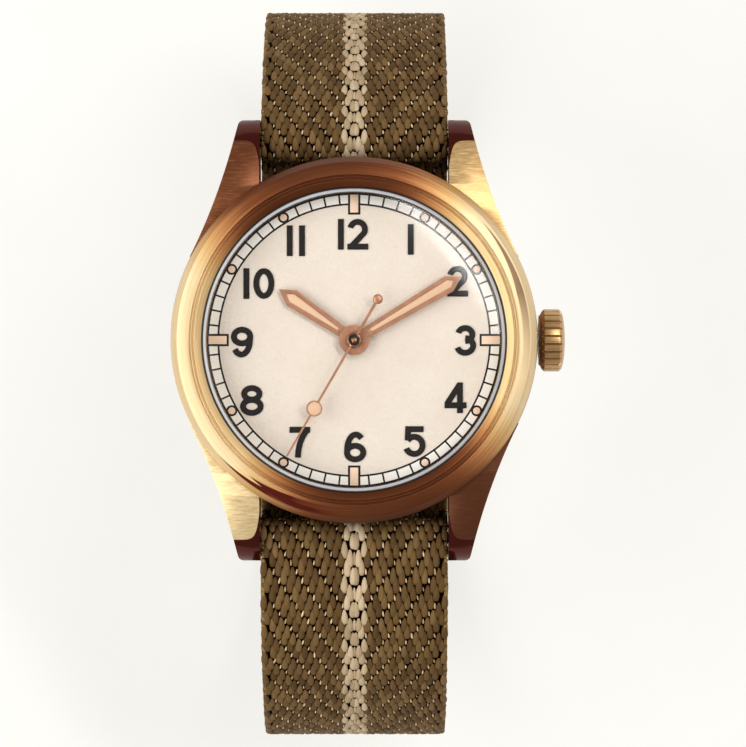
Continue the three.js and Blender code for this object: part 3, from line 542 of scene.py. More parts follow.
def woven_thread(name, light, dark, edge):
    """Nylon yarn: fibres that run along each float, and a different tone on each float."""
    tree = Tree(name)
    uv = tree.coords("UV")
    fibres = tree.noise(tree.scaled(uv, (14.0, 1.1, 1.0)), 1.0, 3.0, 0.6)
    island = tree.node("ShaderNodeNewGeometry").outputs["Random Per Island"]
    tone = tree.blend(fibres, island, 0.55)
    stops = [(0.2, srgb(*dark)), (0.55, srgb(*light)), (0.9, srgb(*edge))]
    tree.link(tree.ramp(tone, stops), "Base Color")
    tree.roughness(fibres, 0.45, 0.65)
    tree.set(Specular_IOR_Level=0.05)
    tree.bump(fibres, 0.5, 0.03)
    return tree.material


# ---- case


def turned(name, profile, radius, steps=2, segments=192, closed=True):
    """A turned piece from a profile of (radius, height over the case back), its corners rounded."""
    points = [(r, HEAD_Z + z) for r, z in profile]
    if radius:
        points = filleted(points, radius, steps, closed)
    return lathe(name, points, segments, closed)


bronze_ring = circular_brushed_bronze()
bronze_case = brushed_case_bronze()
bronze_plain = brushed_metal("bronze_hardware", (206, 170, 118), (158, 118, 74), metallic=0.7)
steel = brushed_metal("steel_brushed", (205, 207, 210), (160, 163, 168))
gilt = brushed_metal("movement_gilt", (222, 190, 120), (176, 140, 78), 0.35)
rubber = grained_paint("black_rubber", (34, 34, 34), (20, 20, 20), 0.75)
pale_plastic = grained_paint("pale_plastic", (222, 224, 222), (200, 202, 200), 0.4, strength=0.08)


def lug_outline(sign_x, sign_y):
    tip_x, corner = 11.2, 0.55
    points = [(LUG_INNER_X, 10.5), (LUG_INNER_X, LUG_TIP_Y)]
    points += arc((tip_x - corner, LUG_TIP_Y - corner), corner, 90, 14, 6)
    points += bezier((tip_x, 20.8), (12.12, 16.4), (13.6, 12.15), (15.7, 7.95), 24)
    points += [(14.3, 7.4)]
    return [(sign_x * x, sign_y * y) for x, y in points]


def lug_profile(sign_y):
    """Side view of a lug in (y, height over the case back)."""
    points = [(6, 0.8), (6, 7.1), (12.5, 7.1)]
    points += bezier((12.5, 7.1), (15.5, 6.95), (17.6, 6.2), (19.0, 5.25), 10)[1:]
    points += bezier((19.0, 5.25), (20.2, 4.45), (21.15, 3.3), (21.4, 2.1), 10)[1:]
    points += [(21.4, 0.2)]
    points += bezier((21.4, 0.2), (20.7, -0.2), (20.0, -0.3), (19.2, -0.3), 5)[1:]
    points += bezier((19.2, -0.3), (17, -0.25), (14.5, 0.2), (12, 0.8), 8)[1:]
    return [(sign_y * y, HEAD_Z + z) for y, z in points]


def build_case():
    wall = [(BORE_R, 0.8), (16.7, 0.8), (17.35, 1.7), (CASE_R, 2.9), (CASE_R, 6.75), (17.3, 7.1),
            (BORE_R, 7.1)]
    body = turned("case_body", wall, 0.15, 3, segments=240)
    for sign_y in (1, -1):
        for sign_x in (1, -1):
            lug = prism("lug", lug_outline(sign_x, sign_y), HEAD_Z - 1, HEAD_Z + 8)
            side = prism("side", lug_profile(sign_y), -16, 16, axis="x")
            boolean(lug, side, "INTERSECT")
            join(body, lug)
    cut(body, cylinder(BORE_R, HEAD_Z - 1, HEAD_Z + 8, 240))
    for sign_y in (1, -1):
        ends = [(sign_y * y, HEAD_Z + z) for y, z in [(16.6, -1), (16.6, 5.1), (25, 5.1), (25, -1)]]
        cut(body, prism("relief", ends, -LUG_INNER_X, LUG_INNER_X, axis="x"))
        hole = cylinder(0.5, -10.1, 10.1, 24, axis="x", at=(0, sign_y * BAR_Y, BAR_Z))
        cut(body, hole)
    cut(body, cylinder(1.32, 10, 20, 32, axis="x", at=(0, 0, STEM_Z)))
    bevel(body, 0.12, 2, 38)
    return settle(body, "case", bronze_case, ["mid_case"], 25)


build_case()

bezel_profile = [
    (14.12, 6.15), (14.42, 6.15), (14.42, 7.15), (17.36, 7.15), (17.5, 7.35), (17.38, 7.62), (16.98, 8.3),
    (16.9, 8.42), (15.76, 8.74), (15.7, 8.72), (15.66, 8.6), (15.6, 8.6), (15.56, 8.72), (15.44, 8.74),
    (15.4, 8.62), (15.33, 8.62), (15.28, 8.76), (15.2, 8.78), (14.56, 8.42), (14.51, 8.34), (14.51, 7.25),
    (14.12, 7.25),
]
settle(turned("bezel_ring", bezel_profile, 0.05, segments=288), "case", bronze_ring, ["bezel"], 30)

crystal_profile = [(0, 9.2), (4, 9.13), (7, 8.94), (10.5, 8.56), (13.9, 8.0), (13.98, 7.3), (14.12, 7.3),
                   (14.12, 8.6), (13.95, 8.82), (12, 9.3), (9.5, 9.72), (7, 10.02), (4, 10.25), (2, 10.33),
                   (0, 10.35)]
glass = crystal_glass()
settle(turned("crystal_dome", crystal_profile, 0, closed=False), "case", glass, ["crystal"], 20)

settle(turned("glass_gasket", [(14.41, 7.3), (14.5, 7.3), (14.5, 8.46), (14.41, 8.46)], 0.02), "case",
       rubber, ["crystal_gasket"], 30)

# The silvered ring that holds the edge of the glass.
silvered = grained_paint("silvered_seat", (190, 190, 192), (172, 172, 174), 0.4, 7000.0, 0.1, 0.01, 0.3)
settle(turned("glass_seat", [(14.13, 7.26), (14.4, 7.26), (14.4, 8.4), (14.13, 8.56)], 0.04), "case",
       silvered, (), 30)

back_profile = [(0, 0), (10.8, 0), (11.0, 0.08), (11.2, 0.0), (14.4, 0), (15.5, 0.35), (15.5, 0.75),
                (14.4, 0.75), (14.4, 1.6), (13.5, 1.6), (13.5, 0.7), (0, 0.7)]


def circular_steel():
    tree = Tree("steel_circular")
    polar = tree.polar()
    rings = tree.noise(tree.scaled(polar, (18.0, 0.8, 8.0)), 1.0, 4.0, 0.6)
    tree.tone(rings, (165, 167, 172), (208, 210, 214))
    tree.roughness(rings, 0.22, 0.36)
    tree.set(Metallic=1.0, Anisotropic=0.6)
    tree.brushed_round()
    tree.bump(rings, 0.2, 0.01)
    return tree.material


settle(turned("back_plate", back_profile, 0.06, closed=False), "case", circular_steel(),
       ["case_back"], 30)

# ---- crown

FLUTES = 24
CROWN_X = 17.75


def build_crown():
    # (distance from the case, outer radius, depth of the flutes)
    stations = [(0.0, 2.0, 0.0), (0.0, 2.35, 0.0), (0.16, 2.5, 0.0), (0.26, 2.72, 0.0), (0.3, 2.78, 0.1),
                (0.5, 2.98, 0.24), (0.56, 3.0, 0.26), (1.9, 3.0, 0.26), (1.96, 2.98, 0.24), (2.16, 2.78, 0.1),
                (2.2, 2.7, 0.0), (2.26, 2.55, 0.0), (2.36, 2.2, 0.0), (2.46, 1.5, 0.0), (2.51, 0.8, 0.0)]
    # One flute: a flat ridge, then a V-shaped groove.
    ridge = [(-0.36, 0.0), (-0.33, 0.12), (0.0, 0.1), (0.33, 0.12), (0.36, 0.0), (0.44, -0.7), (0.5, -1.0),
             (0.56, -0.7)]
    samples = FLUTES * len(ridge)
    verts, faces = [], []
    for along, radius, depth in stations:
        for i in range(samples):
            share, height = ridge[i % len(ridge)]
            r = radius + depth * min(height, 0.0)
            angle = TURN * (i // len(ridge) + share) / FLUTES
            verts.append((CROWN_X + along, r * math.cos(angle), STEM_Z + r * math.sin(angle)))
    for k in range(len(stations) - 1):
        faces += quads(k * samples, (k + 1) * samples, samples)
    last = (len(stations) - 1) * samples
    verts.append((CROWN_X + 2.53, 0, STEM_Z))
    faces += [(last + i, last + (i + 1) % samples, len(verts) - 1) for i in range(samples)]
    # The socket that slides over the tube.
    inner = []
    for along, radius in [(0.0, 1.75), (1.1, 1.75)]:
        inner.append(len(verts))
        verts += [(CROWN_X + along, radius * math.cos(TURN * i / samples),
                   STEM_Z + radius * math.sin(TURN * i / samples)) for i in range(samples)]
    faces += quads(inner[0], 0, samples) + quads(inner[1], inner[0], samples)
    verts.append((CROWN_X + 1.1, 0, STEM_Z))
    faces += [(inner[1] + (i + 1) % samples, inner[1] + i, len(verts) - 1) for i in range(samples)]
    crown = raw_object("winding_crown", verts, faces)
    return settle(crown, "crown_and_stem", bronze_plain, ["crown"], 25)


build_crown()

# ---- dial

cream = grained_paint("dial_cream", (232, 218, 203), (223, 208, 192), 0.6, 4300.0, 1.0, 0.1, 0.2)
print_black = grained_paint("print_black", (32, 27, 24), (20, 16, 14), 0.6, 9000.0, 0.15, 0.01,
                            0.1)
# Painted light: the track's cream is lighter than the dial's, to offset the shade near the rim.
track_paint = grained_paint("track_paint", (246, 240, 230), (238, 230, 219), 0.6, 7000.0, 0.3, 0.02)
peach = grained_paint("peach_lume", (244, 212, 184), (236, 200, 170), 0.7, 8000.0, 0.3, 0.02)

dial_profile = [(1.12, DIAL_TOP - 0.4), (14.1, DIAL_TOP - 0.4), (14.1, DIAL_TOP), (1.12, DIAL_TOP)]
settle(lathe("dial_plate", dial_profile, 192, closed=True), "case", cream, ["dial"], 30)


def flat_ring(name, inner, outer, low, high, material, segments=240):
    profile = filleted([(inner, low), (outer, low), (outer, high), (inner, high)], 0.012, 1, closed=True)
    return settle(lathe(name, profile, segments, closed=True), "case", material, (), 40)


PRINT = 0.02
flat_ring("track_field", TRACK_INNER_R, TRACK_OUTER_R, DIAL_TOP + 0.002, DIAL_TOP + 0.012, track_paint)
flat_ring("track_line_inner", TRACK_INNER_R - 0.09, TRACK_INNER_R + 0.09, DIAL_TOP + 0.004, DIAL_TOP + PRINT,
          print_black)
flat_ring("track_line_outer", TRACK_OUTER_R - 0.09, TRACK_OUTER_R + 0.11, DIAL_TOP + 0.004, DIAL_TOP + PRINT,
          print_black)


def joined(name, things):
    """One object from several."""
    verts, faces = [], []
    for thing in things:
        start = len(verts)
        verts += [tuple(c / MM for c in v.co) for v in thing.data.vertices]
        faces += [tuple(start + i for i in f.vertices) for f in thing.data.polygons]
        bpy.data.objects.remove(thing)
    return raw_object(name, verts, faces)


def place_on_dial(outline, degrees, radius=0.0):
    """Turns an outline drawn at 12 o'clock, moved out by radius, clockwise by degrees."""
    a = math.radians(degrees)
    return [(x * math.cos(a) + (y + radius) * math.sin(a), -x * math.sin(a) + (y + radius) * math.cos(a))
            for x, y in outline]


def rectangle(half_width, low, high):
    return [(-half_width, low), (half_width, low), (half_width, high), (-half_width, high)]


def dial_marks():
    ticks, frames, fills, rims, spots = [], [], [], [], []
    for minute in range(60):
        if minute % 5 == 0:
            continue
        ticks.append(prism("t", place_on_dial(rectangle(0.085, TRACK_INNER_R, TRACK_OUTER_R), minute * 6),
                           DIAL_TOP + 0.003, DIAL_TOP + PRINT))
    for hour in range(12):
        if hour % 3 == 0:
            frames.append(prism("f", place_on_dial(rectangle(0.59, 12.0, 14.02), hour * 30),
                                DIAL_TOP + 0.005, DIAL_TOP + PRINT * 1.5))
            fills.append(prism("p", place_on_dial(rectangle(0.39, 12.2, 13.92), hour * 30),
                               DIAL_TOP + 0.006, DIAL_TOP + PRINT * 3))
        else:
            x, y = clock(13.53, hour * 30)
            rims.append(prism("r", arc((x, y), 0.53, 0, 350, 35), DIAL_TOP + 0.005, DIAL_TOP + PRINT * 1.5))
            spots.append(prism("s", arc((x, y), 0.34, 0, 350, 35), DIAL_TOP + 0.006, DIAL_TOP + PRINT * 3))
    for thing, paint in [(joined("minute_ticks", ticks), print_black),
                         (joined("marker_frames", frames + rims), print_black),
                         (bevel(joined("marker_fills", fills + spots), 0.03, 2, 40), peach)]:
        settle(thing, "case", paint, (), 40)


dial_marks()

# ---- numerals

STROKE = 0.57
HEIGHT = 2.94


def stroke_outline(points, width=STROKE):
    """The outline of a round-cornered stroke of constant width along a line."""
    points = [Vector(p) for p in points]
    left, right = [], []
    for i, point in enumerate(points):
        before = (point - points[i - 1]).normalized() if i else (points[1] - point).normalized()
        after = (points[i + 1] - point).normalized() if i < len(points) - 1 else before
        along = (before + after).normalized()
        normal = Vector((-along.y, along.x))
        reach = width / 2 / max(0.5, normal.dot(Vector((-before.y, before.x))))
        left.append(point + normal * reach)
        right.append(point - normal * reach)
    return [tuple(p) for p in left + right[::-1]]


def loop_ring(name, points, width, low, high):
    """A closed stroke."""
    count = len(points)
    verts, faces = [], []
    for z in (low, high):
        for i in range(count):
            before = Vector(points[i]) - Vector(points[i - 1])
            after = Vector(points[(i + 1) % count]) - Vector(points[i])
            along = (before.normalized() + after.normalized()).normalized()
            normal = Vector((-along.y, along.x)) * width / 2
            for sign in (1, -1):
                p = Vector(points[i]) + normal * sign
                verts.append((p.x, p.y, z))
    layer = 2 * count
    for i in range(count):
        j = (i + 1) % count
        a, b, c, d = 2 * i, 2 * i + 1, 2 * j + 1, 2 * j
        faces += [(a, d, c, b), (layer + a, layer + b, layer + c, layer + d),
                  (a, layer + a, layer + d, d), (b, c, layer + c, layer + b)]
    return raw_object(name, verts, faces)


def ring(cx, cy, rx, ry, steps=36):
    return ellipse(cx, cy, rx, ry, steps=steps)[:-1], True


def digit_strokes():
    """Strokes of bold upright sans digits, each centred on its box: (points, closed)."""
    full = HEIGHT / 2
    top, low = full - STROKE / 2, STROKE / 2 - full
    three_top = ellipse(-0.08, top - 0.62, 0.68, 0.62, 165, -90, 24)
    three_low = ellipse(-0.08, low + 0.7, 0.76, 0.7, 90, -165, 24)
    six_tail = ellipse(0.06, low + 0.95, 0.82, top - low - 0.95, 180, 48, 18)
    nine_tail = ellipse(-0.06, top - 0.95, 0.82, top - low - 0.95, 0, -140, 20)
    return {
        "0": [ring(0, 0, 0.72, top, 40)],
        "1": [([(0, -full), (0, full)], False)],
        "2": [(ellipse(0, top - 0.72, 0.7, 0.72, 168, -28, 22) + [(-0.62, low)], False),
              ([(-0.98, low), (1.02, low)], False)],
        "3": [(three_top, False), (three_low, False)],
        "4": [([(0.42, -full), (0.42, full)], False), ([(0.42, top + 0.12), (-0.84, -0.62)], False),
              ([(-1.06, -0.72), (1.05, -0.72)], False)],
        "5": [([(-0.88, top), (0.86, top)], False), ([(-0.6, full), (-0.66, 0.1)], False),
              ([(-0.66, 0.1)] + ellipse(-0.04, low + 0.82, 0.8, 0.82, 118, -160, 28), False)],
        "6": [ring(0, low + 0.65, 0.78, 0.65), ([(-0.78, low + 0.65)] + six_tail, False)],
        "7": [([(-1.0, top), (0.98, top)], False),
              (bezier((0.7, top), (0.26, 0.6), (-0.12, 0.0), (-0.2, -full), 12), False)],
        "8": [ring(0, top - 0.55, 0.73, 0.55, 32), ring(0, low + 0.62, 0.84, 0.62)],
        "9": [ring(0, top - 0.65, 0.78, 0.65), ([(0.78, top - 0.65)] + nine_tail, False)],
    }


NUMERALS = {
    12: ((-0.14, 10.12), [("1", -1.13), ("2", 0.47)]), 1: ((5.41, 9.63), [("1", 0)]),
    2: ((9.88, 5.63), [("2", 0)]), 3: ((10.70, -0.04), [("3", 0)]), 4: ((9.75, -5.52), [("4", -0.05)]),
    5: ((5.78, -9.71), [("5", 0)]), 6: ((0.09, -10.23), [("6", 0)]), 7: ((-5.24, -9.77), [("7", 0.05)]),
    8: ((-9.79, -5.78), [("8", 0)]), 9: ((-10.73, -0.20), [("9", 0)]),
    10: ((-9.16, 5.41), [("1", -1.15), ("0", 0.52)]), 11: ((-5.61, 9.50), [("1", -0.55), ("1", 0.62)]),
}


def build_numerals():
    strokes = []
    shapes = digit_strokes()
    low, high = DIAL_TOP + 0.004, DIAL_TOP + 0.12
    for (cx, cy), digits in NUMERALS.values():
        for digit, shift in digits:
            for level, (points, closed) in enumerate(shapes[digit]):
                moved = [(x + cx + shift, y + cy) for x, y in points]
                top = high + 0.002 * level
                if closed:
                    strokes.append(loop_ring("d", moved, STROKE, low, top))
                else:
                    strokes.append(prism("d", stroke_outline(moved), low, top))
    thing = joined("numerals", strokes)
    outward(thing.data)
    bevel(thing, 0.05, 3, 50)
    return settle(thing, "case", print_black, (), 50)


build_numerals()

# ---- hands

copper = brushed_metal("hand_copper", (192, 138, 106), (174, 120, 90), 0.36, (1500.0, 1500.0, 1500.0), 0.06,
                       0.5)
copper_polished = polished_metal("copper_polished", (214, 160, 124), (150, 92, 66), 0.08)
oxide_black = grained_paint("oxide_black", (24, 14, 12), (12, 6, 5), 0.25, 5000.0, 0.1, 0.01)
lume = grained_paint("hand_lume", (226, 186, 150), (216, 174, 138), 0.6, 9000.0, 0.2, 0.01)


def hand_outline(start, shoulder, tip, near, far):
    return [(-near / 2, start), (near / 2, start), (far / 2, shoulder), (0, tip), (-far / 2, shoulder)]


def build_hand(name, body, degrees, base_z, tip, shoulder, near, far, bore):
    hub, border, window = 1.45, 0.42, 1.8
    frame_piece = prism(name + "_frame", place_on_dial(hand_outline(0, shoulder, tip, near, far), degrees),
                        base_z, base_z + 0.2)
    join(frame_piece, cylinder(hub, base_z, base_z + 0.2, 96))
    opening = hand_outline(window, shoulder, tip - 2 * border, near - 1.5 * border, far - 2 * border)
    hole = prism("hole", place_on_dial(opening, degrees), base_z - 1, base_z + 1)
    cut(frame_piece, hole)
    cut(frame_piece, cylinder(bore, base_z - 1, base_z + 1, 64))
    bevel(frame_piece, 0.045, 3, 40)
    settle(frame_piece, body, copper, [name], 30)
    inset = hand_outline(window + 0.02, shoulder, tip - 2 * border - 0.04, near - 1.5 * border - 0.03,
                         far - 2 * border - 0.03)
    filling = prism(name + "_filling", place_on_dial(inset, degrees), base_z + 0.02, base_z + 0.165)
    bevel(filling, 0.05, 3, 40)
    settle(filling, body, lume, [name + "_lume"], 40)


build_hand("hour_hand", "hours", HOUR_ANGLE, HEAD_Z + 6.5, 8.7, 7.2, 0.93, 1.75, 1.04)
build_hand("minute_hand", "minutes", MINUTE_ANGLE, HEAD_Z + 6.95, 11.9, 10.55, 1.0, 1.66, 0.73)


def build_seconds():
    z = HEAD_Z + 7.45
    needle = prism("seconds_needle", place_on_dial([(-0.14, -4.5), (0.14, -4.5), (0.09, 12.8), (-0.09, 12.8)],
                                                   SECOND_ANGLE), z, z + 0.12)
    x, y = clock(7.56, SECOND_ANGLE)
    join(needle, cylinder(0.77, z, z + 0.12, at=(x, y, 0)))
    cut(needle, cylinder(0.62, z - 1, z + 1, at=(x, y, 0)))
    x2, y2 = clock(4.5, SECOND_ANGLE + 180)
    bulge = [(0.485 * math.sin(math.radians(a)), z + 0.04 - 0.2 * math.cos(math.radians(a)))
             for a in range(20, 180, 16)]
    join(needle, lathe("ball", [(0, z - 0.04)] + bulge + [(0, z + 0.24)], 40, at=(x2, y2, 0)))
    bevel(needle, 0.03, 2, 40)
    settle(needle, "seconds", copper, ["seconds_hand"], 30)
    for name, profile, slot, material in [
            ("seconds_hub", [(0.5, -0.08), (0.66, -0.08), (0.7, 0.1), (0.65, 0.24), (0.56, 0.25),
                             (0.5, 0.12)], "copper", copper_polished),
            ("seconds_bowl", [(0.02, 0.02), (0.51, 0.02), (0.51, 0.15), (0.02, 0.15)], "steel", oxide_black),
            ("seconds_pin", [(0.1, 0.13), (0.26, 0.13), (0.26, 0.22), (0.19, 0.28), (0.1, 0.2)], "copper",
             copper_polished)]:
        profile = [(r, z + above) for r, above in profile]
        ring = lathe(name, filleted(profile, 0.02, 2, closed=True), 64, closed=True)
        settle(ring, "seconds", material, (), 40)
    profile = filleted([(0, z + 0.01), (0.6, z + 0.01), (0.6, z + 0.1), (0, z + 0.13)], 0.03, 2)
    filling = lathe("seconds_filling", profile, 48, at=(x, y, 0))
    settle(filling, "seconds", lume, ["seconds_hand_lume"], 40)


build_seconds()

# ---- band

BUCKLE_Y, BUCKLE_Z = -9.0, 3.7
TAIL_Z, INNER_Z = 1.3, 2.7
NEAR_BULGE, FAR_BULGE = 33.2, -39.2
BEND = [(13, INNER_Z), (24, INNER_Z), (NEAR_BULGE, 9), (NEAR_BULGE, 21)]


def band_line():
    """The webbing's middle line in (y, z), from the buckle bar round to the free end, as in the CAD."""
    over = 0.75 + 0.1 + BAND_THICKNESS / 2
    under_z = HEAD_Z - 0.9
    rise = 2.4
    bend_y = BAR_Y - over - rise
    steep = math.radians(44)
    leave = (BAR_Y + over * math.sin(steep), BAR_Z + over * math.cos(steep))
    upper = (leave[0] + 7 * math.cos(steep), leave[1] - 7 * math.sin(steep))
    points = [(BUCKLE_Y + 1.2, INNER_Z + 0.35), (BUCKLE_Y + 3, INNER_Z)]
    points += bezier(*BEND, 60)
    points += bezier((NEAR_BULGE, 21), (NEAR_BULGE, 33), upper, leave, 60)[1:]
    points += arc((BAR_Y, BAR_Z), over, 46, 180, 24)[1:]
    points += arc((bend_y, under_z + rise), rise, 0, -90, 16)
    points += arc((-bend_y, under_z + rise), rise, -90, -180, 16)
    points += arc((-BAR_Y, BAR_Z), over, 0, 90, 16)
    points += bezier((-22.6, BAR_Z + over), (-29.5, BAR_Z + over), (FAR_BULGE, 36), (FAR_BULGE, 26.5), 60)
    points += bezier((FAR_BULGE, 26.5), (FAR_BULGE, 12), (-31, 4.2), (-20.5, 2.95), 60)[1:]
    points += bezier((-20.5, 2.95), (-19, 2.78), (-17.5, 2.9), (-16, 2.75), 10)[1:]
    points += bezier((-16, 2.75), (-14.5, 2.55), (-13.5, TAIL_Z), (-11.5, TAIL_Z), 12)[1:]
    tail = bezier(*BEND, 60)[:20]
    for i in range(len(tail) - 1):
        (y0, z0), (y1, z1) = tail[i], tail[i + 1]
        length = math.hypot(y1 - y0, z1 - z0)
        drop = (INNER_Z - TAIL_Z) / length
        points.append((y0 + (z1 - z0) * drop, z0 - (y1 - y0) * drop))
    return np.array(points)


line = band_line()
steps = np.hypot(*np.diff(line, axis=0).T)
stations = np.concatenate([[0], np.cumsum(steps)])
BAND_LENGTH = float(stations[-1])


def on_band(s):
    """Positions and outward normals in (y, z) at arc lengths s."""
    def place(at):
        return np.stack([np.interp(at, stations, line[:, k]) for k in (0, 1)], -1)

    reach = 0.25
    along = place(s + reach) - place(s - reach)
    along /= np.linalg.norm(along, axis=-1, keepdims=True)
    return place(s), np.stack([along[..., 1], -along[..., 0]], -1)


def along_face(side):
    """Arc lengths on the outer (1) or inner (-1) face at each station of the middle line."""
    _, normal = on_band(stations)
    face = line + normal * side * 0.5
    return np.concatenate([[0], np.cumsum(np.hypot(*np.diff(face, axis=0).T))])


FACES = ((1, "outer"), (-1, "inner"))
FACE_STATIONS = {side: along_face(side) for side, _ in FACES}


def to_world(x, s, height):
    """Band coordinates (across, along, out from the middle) to millimetres."""
    at, normal = on_band(s)
    place = at + normal * height[..., None]
    return np.stack([x, place[..., 0], place[..., 1]], -1)


TONGUE_HOLE = ((-0.85, 0.85), (-15.1, -11.6))


def in_tongue_hole(x, s, grow=0.0):
    at, _ = on_band(s)
    (x0, x1), (y0, y1) = TONGUE_HOLE
    return ((x > x0 - grow) & (x < x1 + grow) & (at[..., 0] > y0 - grow) & (at[..., 0] < y1 + grow)
            & (at[..., 1] < 4) & (s > 60))


def build_core():
    """The ground of the webbing, under the floats, painted near-black as the shade in the gaps between them:
    a slab with the tongue's hole in it.
    """
    half = 0.36
    xs = np.array([-8.8, -6, -3, -0.85, 0.85, 3, 6, 8.8])
    ss = np.arange(0.0, BAND_LENGTH + 0.5, 0.55)
    ss[-1] = BAND_LENGTH - 0.2
    grid_x, grid_s = np.meshgrid(xs, ss)
    top = to_world(grid_x, grid_s, np.full(grid_x.shape, half))
    low = to_world(grid_x, grid_s, np.full(grid_x.shape, -half))
    rows, cols = grid_x.shape
    verts = np.concatenate([top.reshape(-1, 3), low.reshape(-1, 3)])
    middle_x = (grid_x[:-1, :-1] + grid_x[1:, 1:]) / 2
    middle_s = (grid_s[:-1, :-1] + grid_s[1:, 1:]) / 2
    kept = ~in_tongue_hole(middle_x, middle_s)
    layer = rows * cols
    faces = []
    for i in range(rows - 1):
        for j in range(cols - 1):
            if not kept[i, j]:
                continue
            a, b, c, d = i * cols + j, i * cols + j + 1, (i + 1) * cols + j + 1, (i + 1) * cols + j
            faces += [(a, b, c, d), (layer + a, layer + d, layer + c, layer + b)]
            for di, dj, p, q in ((-1, 0, a, b), (1, 0, c, d), (0, -1, d, a), (0, 1, b, c)):
                k, m = i + di, j + dj
                outside = k < 0 or m < 0 or k >= rows - 1 or m >= cols - 1
                if outside or not kept[k, m]:
                    faces.append((q, p, layer + p, layer + q))
    core = raw_object("band_core", verts.tolist(), faces)
    # Painted shade: the ground's near-black stands in for the shade between the floats.
    material = grained_paint("band_ground", (14, 7, 3), (6, 3, 1), 0.95, 5000.0, 0.4, 0.05, 0.0)
    return settle(core, "case", material, ["strap_band"], 50)


build_core()

# One float: a leaf of yarn, as rings of points from end to end.
# (share of the length from its pointed end, share of the width, share of the height)
RINGS = [(0.08, 0.36, 0.35), (0.26, 0.74, 0.75), (0.5, 0.98, 1.0), (0.74, 1.0, 0.98), (0.92, 0.74, 0.62)]
AROUND = np.radians([195, 150, 110, 70, 30, -15])


def float_template(length, width, height):
    """Points (across, along, up) and faces of one float, whose ends dive into the ground."""
    points = [(0.0, -length / 2, -0.1)]
    for share, wide, high in RINGS:
        for angle in AROUND:
            up = math.sin(angle)
            points.append((width / 2 * wide * math.cos(angle), (share - 0.5) * length,
                           height * high * up if up > 0 else -0.1))
    points.append((0.0, length / 2, -0.1))
    count = len(AROUND)
    faces = []
    for k in range(count):
        faces.append((0, 1 + (k + 1) % count, 1 + k))
        last = 1 + (len(RINGS) - 1) * count
        faces.append((len(points) - 1, last + k, last + (k + 1) % count))
    for r in range(len(RINGS) - 1):
        faces += quads(1 + r * count, 1 + (r + 1) * count, count)
    return np.array(points), faces


def write_uv(mesh, flat):
    """Gives each corner of a mesh its vertex's place on the yarn."""
    corners = np.empty(len(mesh.loops), int)
    mesh.loops.foreach_get("vertex_index", corners)
    mesh.uv_layers.new(name="yarn").data.foreach_set("uv", flat.reshape(-1, 2)[corners].ravel())


def scatter(name, template, places, material, side=1):
    """Copies of a template at band places (across, along, turn, size, lift), on the outer or inner face."""
    points, faces = template
    x0, s0, turn, size, lift = places.T
    across, along, up = (points[None, :, k] * size[:, None] for k in range(3))
    cosine, sine = np.cos(turn)[:, None], np.sin(turn)[:, None]
    x = x0[:, None] + across * cosine - along * sine
    s = s0[:, None] + across * sine + along * cosine
    height = side * (GROUND_HEIGHT + lift[:, None] + up)
    s = np.interp(s, FACE_STATIONS[side], stations)
    verts = to_world(x, within_band(s), height).reshape(-1, 3)
    starts = np.arange(len(places))[:, None, None] * len(points)
    all_faces = []
    for corners in (3, 4):
        block = np.array([f for f in faces if len(f) == corners])
        spread = (block + starts).reshape(-1, corners)
        all_faces += (spread if side > 0 else spread[:, ::-1]).tolist()
    thing = raw_object(name, verts.tolist(), all_faces)
    write_uv(thing.data, points[None, :, :2] + rng.random((len(places), 2))[:, None] * 40)
    thing.data.polygons.foreach_set("use_smooth", np.ones(len(thing.data.polygons), bool))
    return settle(thing, "case", material, angle=None)


def column_phase(column):
    """Where along the repeat a column's float sits, mirrored about the middle of the band."""
    k = column if column < COLUMNS // 2 else COLUMNS - 1 - column
    return (k // 2) * 0.25 + (0.5 if k % 2 else 0.0)


OUTER_COLUMN_X = 8.72
GROUND_HEIGHT = 0.34                             # where the floats stand, from the middle of the band
EDGE_CLEARANCE = 0.02


def column_x(column):
    return (2 * column / (COLUMNS - 1) - 1) * OUTER_COLUMN_X


def within_band(s):
    return np.clip(s, EDGE_CLEARANCE, BAND_LENGTH - EDGE_CLEARANCE)


def repeats(column, side, shift=0.0):
    """Where one column's floats stand along a face of the band."""
    phase = column_phase(column) + (0.5 if side < 0 else 0.0)
    length = FACE_STATIONS[side][-1]
    first = (phase * FLOAT_PERIOD + shift) % FLOAT_PERIOD
    return [s for s in np.arange(first, length - 0.5, FLOAT_PERIOD) if s > 0.5]


def clear_of_hole(rows, side, grow):
    places = np.array(rows)
    middle = np.interp(places[:, 1], FACE_STATIONS[side], stations)
    return places[~in_tongue_hole(places[:, 0], middle, grow)]


def float_places(columns, side):
    rows = []
    for column in columns:
        x = column_x(column)
        for s in repeats(column, side):
            rows.append((x + rng.normal(0, 0.012), s + rng.normal(0, 0.03), rng.normal(0, 0.04),
                         1 + rng.normal(0, 0.03), rng.normal(0, 0.012)))
    return clear_of_hole(rows, side, 0.45)


